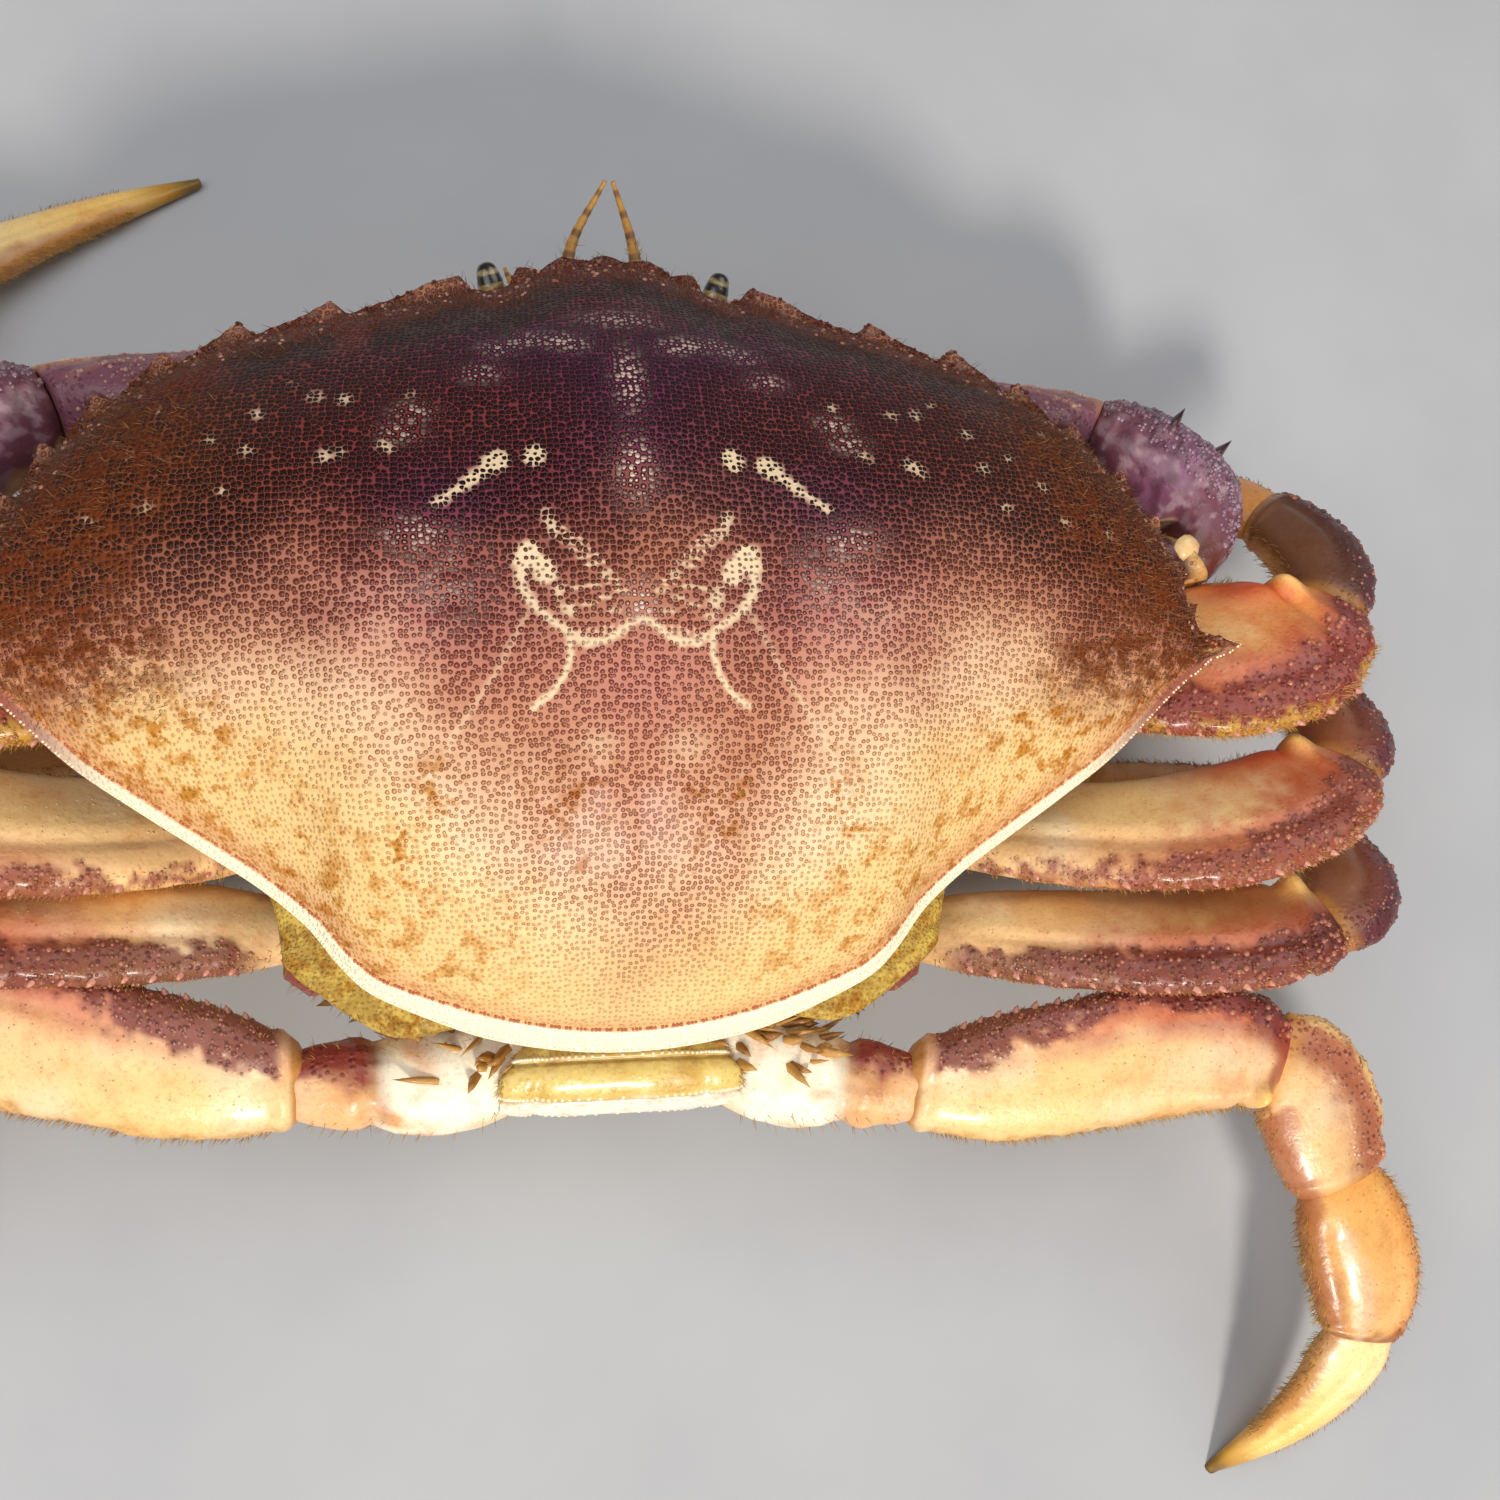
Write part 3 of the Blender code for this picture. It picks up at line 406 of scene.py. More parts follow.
class Coat:
    """Hairs gathered into one mesh; each keeps its place on the skin's chart."""

    def __init__(self):
        self.points, self.tints, self.charts, self.count = [], [], [], 0

    def add(self, roots, ways, lengths, radius, tint, charts, droop=0.25):
        """Three-sided hairs that taper and bend, at the given roots."""
        n = len(roots)
        if n == 0:
            return
        ways = unit(ways)
        side = side_of(ways)
        other = np.cross(ways, side)
        lengths = np.broadcast_to(lengths, n)[:, None]
        radius = np.broadcast_to(radius, n)[:, None]
        rows = []
        for place, width in ((-0.08, 1.0), (0.5, 0.75)):
            centre = roots + ways * lengths * place \
                + other * lengths * droop * max(place, 0) ** 2
            for k in range(3):
                a = k * 2 * math.pi / 3
                rows.append(centre + (side * math.cos(a) + other * math.sin(a)) * radius * width)
        rows.append(roots + ways * lengths + other * lengths * droop)
        made = np.stack(rows, 1)
        self.points.append(made.reshape(-1, 3))
        self.tints.append(np.repeat(np.broadcast_to(tint, (n, 3)), HAIR_POINTS, 0))
        self.charts.append((charts[:, None] + HAIR_CHART[None]).reshape(-1, 2))
        self.count += n

    def build(self, name, material, slot):
        """The Blender object of the coat."""
        offset = (np.arange(self.count) * HAIR_POINTS)[:, None, None]
        faces = [(form[None] + offset).reshape(-1, form.shape[1]) for form in (HAIR_QUADS, HAIR_TIPS)]
        piece = Piece()
        piece.add(np.vstack(self.points), faces, np.vstack(self.tints), chart=np.vstack(self.charts))
        return piece.build(name, material, slot, chart_name="OFBake")


# Materials

class Shader:
    """Short forms for building a material's nodes."""

    def __init__(self, name):
        self.material = bpy.data.materials.new(name)
        self.material.use_nodes = True
        self.tree = self.material.node_tree
        self.out = self.tree.nodes["Principled BSDF"]

    def node(self, kind, inputs=None, **settings):
        """A new node with settings, and inputs that are numbers or linked sockets."""
        made = self.tree.nodes.new(kind)
        for key, value in settings.items():
            setattr(made, key, value)
        for key, value in (inputs or {}).items():
            self.put(made.inputs[key], value)
        return made

    def put(self, socket, value):
        """Set an input to a number or link it to an output."""
        if isinstance(value, bpy.types.NodeSocket):
            self.tree.links.new(value, socket)
        else:
            socket.default_value = value

    def attribute(self, name):
        """A colour attribute of the mesh."""
        return self.node("ShaderNodeAttribute", attribute_name=name).outputs["Color"]

    def parts(self, colour):
        """The red, green and blue of a colour."""
        return self.node("ShaderNodeSeparateColor", {"Color": colour}).outputs

    def calc(self, kind, a, b=0.0, clamp=False):
        return self.node("ShaderNodeMath", {0: a, 1: b}, operation=kind, use_clamp=clamp).outputs[0]

    def range(self, value, low, high, to_low=0.0, to_high=1.0):
        """A smooth step of the value between two limits; it falls if low is above high."""
        inputs = {"Value": value, "From Min": low, "From Max": high,
                  "To Min": to_low, "To Max": to_high}
        return self.node("ShaderNodeMapRange", inputs, interpolation_type="SMOOTHSTEP").outputs[0]

    def mix(self, share, first, second, kind="MIX"):
        """Two colours mixed by a share, or the first multiplied by the second."""
        made = self.node("ShaderNodeMix", data_type="RGBA", blend_type=kind)
        sockets = [made.inputs["Factor"]] + [s for s in made.inputs if s.type == "RGBA"]
        for socket, value in zip(sockets, (share, first, second)):
            self.put(socket, value)
        return [s for s in made.outputs if s.type == "RGBA"][0]

    def over(self, share, ground, colour):
        """A colour of 0 to 255 laid over the ground."""
        return self.mix(share, ground, (*paint(colour), 1))

    def deeper(self, share, ground, light):
        """The ground filtered by a linear colour."""
        return self.mix(share, ground, self.mix(1.0, ground, (*light, 1), "MULTIPLY"))

    def times(self, a, b):
        """The product of two values."""
        return self.calc("MULTIPLY", a, b)

    def rest(self, value):
        """One less the value."""
        return self.calc("SUBTRACT", 1.0, value)

    def line(self, value, slope, start):
        """The value times a slope, plus a start."""
        return self.node("ShaderNodeMath", {0: value, 1: slope, 2: start},
                         operation="MULTIPLY_ADD").outputs[0]

    def surface(self, **values):
        """Set or link inputs of the material's surface, named with underscores."""
        for name, value in values.items():
            self.put(self.out.inputs[name.replace("_", " ")], value)

    def place(self):
        """Object coordinates in millimetres."""
        coordinate = self.node("ShaderNodeTexCoord").outputs["Object"]
        return self.node("ShaderNodeVectorMath", {0: coordinate, "Scale": 1000.0},
                         operation="SCALE").outputs[0]

    def noise(self, vector, scale, detail=3.0, roughness=0.55):
        inputs = {"Vector": vector, "Scale": scale, "Detail": detail, "Roughness": roughness}
        return self.node("ShaderNodeTexNoise", inputs).outputs[0]

    def cells(self, vector, scale, feature="F1", flat=False, randomness=1.0):
        inputs = {"Vector": vector, "Scale": scale, "Randomness": randomness}
        made = self.node("ShaderNodeTexVoronoi", feature=feature,
                         voronoi_dimensions="2D" if flat else "3D")
        for key, value in inputs.items():
            self.put(made.inputs[key], value)
        return made

    def bump(self, height, distance, strength=1.0, normal=None):
        inputs = {"Height": height, "Distance": distance, "Strength": strength}
        if normal is not None:
            inputs["Normal"] = normal
        return self.node("ShaderNodeBump", inputs).outputs[0]


def carapace_material():
    """Rings on a pale ground behind, merging to a dark shell with a pale net in front."""
    s = Shader("carapace_shell")
    ground, ink = s.attribute("tint"), s.attribute("ink")
    cover, patch, grain = s.parts(s.attribute("mask"))[:3]
    algae, fuzz, plain = s.parts(s.attribute("stain"))[:3]
    painted = s.rest(plain)
    place = s.place()
    chart = s.node("ShaderNodeUVMap", uv_map="chart").outputs[0]
    wobble = s.node("ShaderNodeTexNoise", {"Vector": chart, "Scale": 90.0, "Detail": 2.0})
    shift = s.node("ShaderNodeVectorMath", {0: wobble.outputs["Color"], "Scale": 0.0045},
                   operation="SCALE").outputs[0]
    chart = s.node("ShaderNodeVectorMath", {0: chart, 1: shift}, operation="ADD").outputs[0]
    rings = {"scale": CHART_UNIT / RING_SPACING, "flat": True, "randomness": 0.6}
    cell = s.cells(chart, **rings)
    edge = s.cells(chart, feature="DISTANCE_TO_EDGE", **rings).outputs[0]
    near = cell.outputs["Distance"]
    chance = s.parts(cell.outputs["Color"])[0]

    # Rings: discs of ink that grow and meet in a net as the cover rises, with a pale core
    radius = s.times(s.line(cover, 0.46, 0.17), s.line(chance, 0.42, 0.76))
    radius = s.calc("SUBTRACT", radius, s.times(patch, 0.3))
    disc = s.range(s.calc("SUBTRACT", radius, near), -0.03, 0.06)
    net = s.range(edge, 0.015, 0.075)
    disc = s.times(disc, s.calc("MAXIMUM", net, s.range(cover, 0.3, 0.0)))
    core = s.times(s.times(s.range(near, 0.25, 0.12), s.range(cover, 0.95, 0.5)), 0.72)
    disc = s.times(s.times(disc, s.rest(core)), painted)

    # Ground with speckles, cream patches, rings and the dots of the grainy places
    speckle = s.range(s.noise(place, 0.55, 4.0, 0.62), 0.3, 0.75, 0.0, 0.28)
    colour = s.deeper(s.times(speckle, painted), ground, (0.86, 0.7, 0.6))
    colour = s.over(s.times(patch, 0.92), colour, (240, 214, 176))
    colour = s.mix(disc, colour, ink)
    reach = s.calc("SUBTRACT", s.line(chance, 0.34, 0.08), near)
    dots = s.times(grain, s.range(reach, -0.08, 0.0))
    colour = s.over(dots, colour, (240, 204, 190))

    # Golden algae behind, brown felt at the front corners
    moss = s.times(s.range(s.noise(place, 0.34, 5.0, 0.7), 0.47, 0.62), algae)
    colour = s.deeper(s.times(moss, 0.9), colour, paint((206, 156, 50)))
    clump = s.range(s.noise(place, 0.9, 4.0, 0.7), 0.53, 0.64)
    colour = s.over(s.times(clump, s.times(moss, 0.95)), colour, (156, 104, 14))
    felt = s.range(s.noise(place, 0.42, 6.0, 0.72), 0.42, 0.56, 0.05, 0.97)
    colour = s.over(s.times(fuzz, felt), colour, (106, 46, 8))
    tuft = s.range(s.noise(place, 1.6, 4.0, 0.7), 0.56, 0.72, 0.0, 0.5)
    colour = s.over(s.times(fuzz, tuft), colour, (172, 104, 52))

    rough = s.range(s.noise(place, 0.3, 3.0), 0.3, 0.7, 0.36, 0.52)
    rough = s.calc("ADD", rough, s.times(fuzz, 0.3))
    rough = s.calc("ADD", rough, s.times(moss, 0.15), clamp=True)
    bead = s.times(s.range(near, 0.42, 0.0), s.range(cover, 0.0, 1.0, 0.55, 1.0))
    normal = s.bump(s.calc("ADD", bead, s.times(dots, 0.8)), 0.00026, 1.0)
    normal = s.bump(s.noise(place, 0.8, 5.0, 0.65), 0.0004, 0.35, normal)
    s.surface(Base_Color=colour, Roughness=rough, Specular_IOR_Level=0.2, Coat_Weight=0.03,
              Coat_Roughness=0.16, Subsurface_Weight=0.0, Normal=normal)
    return s.material


def limb_material(name, roughness=(0.3, 0.48), coat=0.12):
    """A plate's painted colour with mottling, dark granules and pits, and a wet gloss."""
    s = Shader(name)
    tint = s.attribute("tint")
    granule, dirt = s.parts(s.attribute("mask"))[:2]
    place = s.place()
    mottle = s.range(s.noise(place, 0.22, 5.0, 0.62), 0.46, 0.72, 0.0, 0.4)
    colour = s.deeper(mottle, tint, paint((226, 176, 140)))
    fine = s.range(s.noise(place, 1.7, 3.0, 0.6), 0.52, 0.68, 0.0, 0.3)
    colour = s.deeper(fine, colour, paint((220, 170, 130)))
    cell = s.cells(place, 1.05, randomness=0.85)
    near = cell.outputs["Distance"]
    chance = s.parts(cell.outputs["Color"])[0]
    spots = s.times(s.range(near, 0.42, 0.26), s.range(chance, 0.1, 0.75))
    spots = s.times(s.times(spots, granule), 0.7)
    colour = s.deeper(spots, colour, paint((150, 70, 70)))
    grime = s.times(dirt, s.range(s.noise(place, 0.6, 5.0, 0.7), 0.4, 0.62))
    colour = s.over(s.times(grime, 0.8), colour, (146, 104, 44))

    rough = s.range(s.noise(place, 0.35, 4.0), 0.3, 0.72, *roughness)
    rough = s.calc("ADD", rough, s.times(grime, 0.25), clamp=True)
    raised = s.calc("ADD", s.times(granule, 0.9), 0.1)
    normal = s.bump(s.times(s.range(near, 0.5, 0.1), raised), 0.00022, 0.6)
    normal = s.bump(s.noise(place, 0.7, 5.0, 0.6), 0.0005, 0.28, normal)
    s.surface(Base_Color=colour, Roughness=rough, Coat_Weight=coat, Coat_Roughness=0.12,
              Normal=normal)
    return s.material


def eye_material():
    """Dark, wet cornea with pale bands from the painted colour."""
    s = Shader("eye")
    tint, place = s.attribute("tint"), s.place()
    facets = s.cells(place, 5.0, randomness=0.5).outputs["Distance"]
    mottle = s.range(s.noise(place, 1.2, 4.0), 0.4, 0.7, 0.0, 0.6)
    s.surface(Base_Color=s.deeper(mottle, tint, (0.5, 0.42, 0.3)),
              Roughness=s.range(facets, 0.0, 0.6, 0.08, 0.2), Coat_Weight=0.6,
              Coat_Roughness=0.05, Normal=s.bump(facets, 0.00006, 0.4))
    return s.material


def coat_material():
    """Stiff, slightly shiny hair in its painted colour."""
    s = Shader("hair")
    tint, place = s.attribute("tint"), s.place()
    mottle = s.range(s.noise(place, 0.8, 3.0), 0.35, 0.7, 0.0, 0.6)
    s.surface(Base_Color=s.deeper(mottle, tint, (0.6, 0.48, 0.4)),
              Roughness=s.range(s.noise(place, 2.0, 2.0), 0.3, 0.7, 0.42, 0.6))
    return s.material


def floor_material():
    """Pale, matt painted floor."""
    s = Shader("floor")
    shade = s.range(s.noise(s.place(), 0.02, 4.0), 0.3, 0.7)
    s.surface(Base_Color=s.over(shade, (*paint((182, 184, 188)), 1), (176, 178, 183)),
              Roughness=0.7)
    return s.material


# Carapace

def margin_height(x, y):
    """Height of the carapace edge: lowest behind, highest at the tenth teeth."""
    share = np.minimum(np.abs(x) / TENTH_TOOTH[0], 1.0)
    front = FRONT_MARGIN_Z + (SIDE_MARGIN_Z - FRONT_MARGIN_Z) * share ** 1.5
    rear = REAR_MARGIN_Z + (SIDE_MARGIN_Z - REAR_MARGIN_Z) * share ** 1.2
    return np.where(y > 0, front, rear)


def catmull(points, places):
    """Points on a Catmull-Rom curve whose first and last entries only guide the ends."""
    points = np.asarray(points, float)
    spans = len(points) - 3
    places = np.asarray(places, float)
    index = np.minimum((places * spans).astype(int), spans - 1)
    t = (places * spans - index)[:, None]
    a, b, c, d = (points[index + k] for k in range(4))
    return 0.5 * (2 * b + (c - a) * t + (2 * a - 5 * b + 4 * c - d) * t ** 2
                  + (3 * b - a - 3 * c + d) * t ** 3)


def travelled(line):
    """Distance walked along a line of points, at each of them."""
    return np.concatenate([[0], np.cumsum(np.linalg.norm(np.diff(line, axis=0), axis=1))])


# Points of half the shell's outline, and rings of its back, rounded edge and flank
HALF_COUNT = 470
BACK_ROWS, MARGIN_ROWS, EDGE_ROWS, FLANK_ROWS = 100, 30, 6, 41
FLANK_LENGTH = 20.0
RIM_GROOVE = 0.45


def half_outline():
    """Edge and base points of the right half, front midline to rear midline."""
    edges, bases = [], []
    front_e, front_b = np.array(FRONTAL_EDGE, float), np.array(FRONTAL_BASE, float)
    for i in range(len(front_e) - 1):
        t = np.linspace(0, 1, 9)[:-1, None]
        round_off = 0.18 * np.sin(t * math.pi)
        edge = front_e[i] * (1 - t) + front_e[i + 1] * t
        edges.append(edge + round_off * (0, 1))
        bases.append(front_b[i] * (1 - t) + front_b[i + 1] * t)
    shares = np.arange(0.46, TEETH, 1 / 26)
    shares = shares[shares < TEETH - 0.24]
    places = shares / TEETH
    point = catmull(TOOTH_ARC, places)
    ahead = catmull(TOOTH_ARC, np.minimum(places + 0.01, 1.0))
    along = unit(ahead - point)
    outward = np.stack([-along[:, 1], along[:, 0]], -1)
    part = (shares - 0.28) % 1.0
    reach = np.interp(part, [0, 0.18, 0.3, 0.47, 1.0], [0, 1.0, 0.8, 0.5, 0])
    nick = 0.16 * np.abs(np.sin(part * 6 * math.pi)) * ramp(part, 0.2, 0.3)
    reach = (reach - nick * 0.6)[:, None]
    edges.append(point - outward * TOOTH_DEPTH * (1 - reach) - along * 0.8 * reach)
    bases.append(point - outward * TOOTH_DEPTH * 1.15)
    last_e, last_b = edges[-1][-1], bases[-1][-1]
    turn_e = np.array([last_e, (81.8, 1.4), (85.0, 0.1), TENTH_TOOTH, (85.4, -2.0), (82.6, -2.9),
                       (81.8, -3.6)])
    turn_b = np.array([last_b, (80.0, 1.6), (80.3, 0.4), (80.6, -0.9), (80.6, -1.8), (80.5, -2.6),
                       (80.45, -3.3)])
    for i in range(len(turn_e) - 1):
        t = np.linspace(0, 1, 7)[1:, None]
        edges.append(turn_e[i] * (1 - t) + turn_e[i + 1] * t)
        bases.append(turn_b[i] * (1 - t) + turn_b[i + 1] * t)
    rear = catmull(REAR_ARC, np.linspace(0, 1, 200))[1:]
    inset = np.minimum(np.arange(len(rear)) / 8, 1.0)[:, None]
    edges.append(rear)
    bases.append(rear * (0.985 + 0.005 * inset))
    edges, bases = np.vstack(edges), np.vstack(bases)
    step = travelled(edges)
    even = np.linspace(0, step[-1], HALF_COUNT + 1)
    edges = np.stack([np.interp(even, step, edges[:, k]) for k in range(2)], -1)
    bases = np.stack([np.interp(even, step, bases[:, k]) for k in range(2)], -1)
    edges[0, 0] = bases[0, 0] = edges[-1, 0] = bases[-1, 0] = 0.0
    return edges, bases


HALF_EDGE, HALF_BASE = half_outline()
WIDEST = int(np.argmax(HALF_BASE[:, 0]))


def whole(half):
    """The outline of both sides, from the right half's points."""
    return np.vstack([half, half[-2:0:-1] * (-1, 1)])


FRONT_TABLE_X = np.arange(-60.0, 60.1, 0.25)


def smooth_front():
    """The front margin's y over x without the notches of the eyes."""
    line = HALF_BASE[:WIDEST + 1]
    order = np.maximum.accumulate(line[:, 0])
    plain = np.interp(np.abs(FRONT_TABLE_X), order, line[:, 1])
    weight = np.exp(-(np.arange(-36, 37) * 0.25 / 3.2) ** 2)
    padded = np.pad(plain, 36, mode="edge")
    return np.convolve(padded, weight / weight.sum(), "valid")


def front_of(x):
    """The front margin's y over x."""
    line = HALF_BASE[:WIDEST + 1]
    order = np.maximum.accumulate(line[:, 0])
    plain = np.interp(np.minimum(np.abs(x), HALF_BASE[WIDEST, 0]), order, line[:, 1])
    soft = np.interp(x, FRONT_TABLE_X, FRONT_SMOOTH)
    share = ramp(np.abs(x), 56, 44)
    return plain * (1 - share) + soft * share


FRONT_SMOOTH = smooth_front()


def rear_of(x):
    """The rear margin's y over x."""
    line = HALF_BASE[:WIDEST - 1:-1]
    order = np.maximum.accumulate(line[:, 0])
    return np.interp(np.minimum(np.abs(x), HALF_BASE[WIDEST, 0]), order, line[:, 1])


def relief(x, y):
    """Height of the swellings and hollows of the back."""
    total = 0.0
    for cx, cy, radius, height in REGIONS:
        for side in (1, -1):
            distance = (x - side * cx) ** 2 + (y - cy) ** 2
            total = total + height * np.exp(-distance / radius ** 2) * (0.5 if cx == 0 else 1.0)
    return total


def back_height(x, y):
    """Height of the back: an arch across each fore-and-aft section."""
    front, rear = front_of(x), rear_of(x)
    chord = np.maximum(front - rear, 1e-6)
    place = np.clip((y - rear) / chord, 0, 1)
    arch = (4 * place * (1 - place)) ** DOME_POWER
    rim = margin_height(x, rear) * (1 - place) + margin_height(x, front) * place
    rise = DOME_RISE * (chord / (front_of(0.0) - rear_of(0.0))) ** DOME_SPREAD
    return rim + rise * arch + relief(x, y) * np.minimum(1.0, arch * 2)


def wall_top(y):
    """Height of the join between the carapace and the breast plate."""
    return WALL_TOP_FRONT + WALL_TOP_SLOPE * y


def wall_normal(name):
    """Flat direction that a wall of the breast plate faces, on the right side."""
    angle = math.radians(WALLS[name][0])
    return np.array([math.cos(angle), math.sin(angle)])


def breast_edge(direction):
    """Points of the breast plate's outline in flat directions from its middle."""
    heading = unit(np.stack([np.abs(direction[:, 0]), direction[:, 1]], -1))
    reach = np.full(len(direction), 1e9)
    for name in WALLS:
        reach = np.minimum(reach, WALLS[name][1] / np.maximum(heading @ wall_normal(name), 1e-6))
    found = heading * reach[:, None]
    found[:, 0] = np.copysign(found[:, 0], direction[:, 0])
    return found


def closeness(x, y, path, width, soft=0.35):
    """1 on a path of points and 0 past its half width, for x and -x alike."""
    best = np.full(x.shape, 1e9)
    p = np.stack([np.abs(x), y], -1)
    if len(path) == 1:
        best = np.linalg.norm(p - np.array(path[0], float), axis=-1)
    for a, b in zip(path, path[1:]):
        a, b = np.array(a, float), np.array(b, float)
        t = np.clip(((p - a) @ (b - a)) / max((b - a) @ (b - a), 1e-9), 0, 1)
        best = np.minimum(best, np.linalg.norm(p - a - t[..., None] * (b - a), axis=-1))
    return 1 - ramp(best, width / 2 - soft, width / 2 + soft)


def spot(x, y, cx, cy, rx, ry):
    """A soft round swelling, for x and -x alike."""
    return np.exp(-((np.abs(x) - cx) / rx) ** 2 - ((y - cy) / ry) ** 2)


def spots(x, y, table, total=0.0):
    """A sum of soft swellings; the table holds the weight, place and radii of each."""
    for weight, *form in table:
        total = total + weight * spot(x, y, *form)
    return total


VIOLET_SPOTS = [(1.0, 0, 24, 10, 17), (1.0, 14, 36, 13, 7), (0.9, 23, 12, 8, 6)]
MAUVE_SPOTS = [(1.0, 24, 0, 12, 9), (0.6, 0, -10, 9, 7)]
GRAIN_SPOTS = [(1.2, 0, 15.6, 2.0, 3.6), (1.2, 0, 29.4, 1.7, 4.2), (1.3, 0, -1.2, 1.6, 2.2),
               (0.8, 15.9, 35.0, 2.2, 1.3), (0.8, 12.5, 36.6, 2.2, 1.3), (0.8, 8.6, 36.2, 2.2, 1.3),
               (0.8, 6.6, 35.4, 2.2, 1.3), (0.8, 18.2, 30.6, 2.2, 1.3), (0.8, 26.6, 24.6, 2.2, 1.3),
               (0.8, 28.0, 21.4, 2.2, 1.3), (0.75, 0, 40.5, 5, 1.6), (0.8, 26.6, 7.2, 3.2, 2.0)]
ALGAE_SPOTS = [(1.0, 24, -22, 3.0, 4.5), (1.0, 27.5, -29, 3.0, 4.5), (0.8, 54, -13, 8, 5),
               (0.5, 8, -24, 6, 6), (0.7, 20, -40, 9, 7)]
POUCH_SPOTS = [(1.0, 38, -36, 14, 11), (0.5, 27, -45, 8, 6)]

# Cream marks of the back's right half: path and width of each
SOLID_MARKS = [([(12.1, 17.9), (12.3, 17.4)], 2.7), ([(16.6, 17.1), (17.3, 16.6)], 2.9),
               ([(17.6, 16.2), (20.4, 13.9)], 1.7), ([(20.4, 13.9), (23.9, 11.2)], 1.1),
               ([(13.2, 4.9), (13.6, 4.2)], 3.1), ([(11.6, 3.4), (11.3, 2.4)], 2.6),
               ([(14.3, 3.6), (13.9, 0.6), (12.6, -1.6)], 1.3),
               ([(12.6, -1.6), (10.2, -3.6), (8.4, -5.0)], 0.95),
               ([(8.4, -5.0), (6.6, -6.0), (4.6, -5.9), (2.8, -5.0), (1.5, -3.9), (0.3, -3.3),
                 (0, -3.3)], 0.85),
               ([(8.7, -4.8), (8.5, -7.4), (9.2, -9.6), (10.6, -11.7), (12.9, -13.3)], 0.72)]
MOTTLED_MARKS = [([(10.2, 7.6), (11.0, 9.8)], 1.3), ([(9.6, 0.4), (8.4, -2.4)], 1.6),
                 ([(35.5, 18.5), (37.5, 17.6)], 1.8)]
MOTTLED_MARKS += [([(mark_x, mark_y)], width) for mark_x, mark_y, width in (
    (30.0, 19.3, 1.9), (38.3, 27.3, 1.9), (34.8, 26.7, 1.8), (26.8, 27.5, 1.3), (46.2, 18.9, 1.6),
    (41.0, 29.8, 1.4), (29.4, 18.9, 1.2), (45.1, 24.6, 1.5), (50.5, 21.0, 1.5), (54.5, 17.0, 1.4),
    (57.3, 11.9, 1.5), (60.2, 19.5, 1.3), (64.0, 11.0, 1.3), (48.5, 13.2, 1.3), (57.5, 26.5, 1.3))]
LINE_MARKS = [([(13.6, -2.6), (17.0, -9.0), (22.4, -16.8), (26.0, -24.0)], 0.7)]
FAN_DASHES = 10
COMB_DASHES = 8


def shell_marks(x, y, ripple, flat):
    """Cream curves, spots and short dashes of the back, 0 to 1."""
    broken = ramp(ripple, -0.55, 0.15)
    patch = np.zeros_like(x)
    for path, width in SOLID_MARKS:
        shaken = (x + ripple * 0.14, y + noise(flat, 1.1, 6) * 0.22)
        patch = np.maximum(patch, closeness(*shaken, path, width))
    for path, width in MOTTLED_MARKS:
        patch = np.maximum(patch, closeness(x, y, path, width, 0.6) * broken * 0.85)
    for path, width in LINE_MARKS:
        patch = np.maximum(patch, closeness(x, y, path, width, 0.35) * 0.4)
    for k in range(FAN_DASHES):
        share = k / (FAN_DASHES - 1)
        low = np.array([3.0 + 7.4 * share, 0.6 + 6.6 * share ** 1.1])
        lean = math.radians(104 - 26 * share)
        high = low + np.array([math.cos(lean), math.sin(lean)]) * (1.0 + 1.5 * math.sin(share * 2.6))
        patch = np.maximum(patch, 0.85 * closeness(x, y, [low, high], 0.36, 0.18))
    for k in range(COMB_DASHES):
        low = np.array([1.6 + 0.95 * k, -4.4 - 1.1 * math.sin(min(k / 5, 1) * math.pi / 2)])
        patch = np.maximum(patch, 0.7 * closeness(x, y, [low, low + (0.1, 1.0)], 0.4, 0.2))
    for cx, cy in ((2.4, 0.2), (4.4, -0.6), (6.2, -1.4), (3.2, -2.2), (5.6, 0.8), (7.4, 0.6)):
        patch = np.maximum(patch, 0.7 * closeness(x, y, [(cx - 0.6, cy), (cx + 0.6, cy)], 0.5, 0.2))
    soft = 0.42 * spot(x, y, 5.3, -18.2, 2.6, 2.2) + 0.2 * spot(x, y, 28, -2, 6, 5) * broken
    return np.clip(np.maximum(patch, soft), 0, 1)


def rim_width(x):
    """Width of the pale rim behind, wider towards the midline."""
    return 1.25 + 1.1 * ramp(np.abs(x), 44, 14)


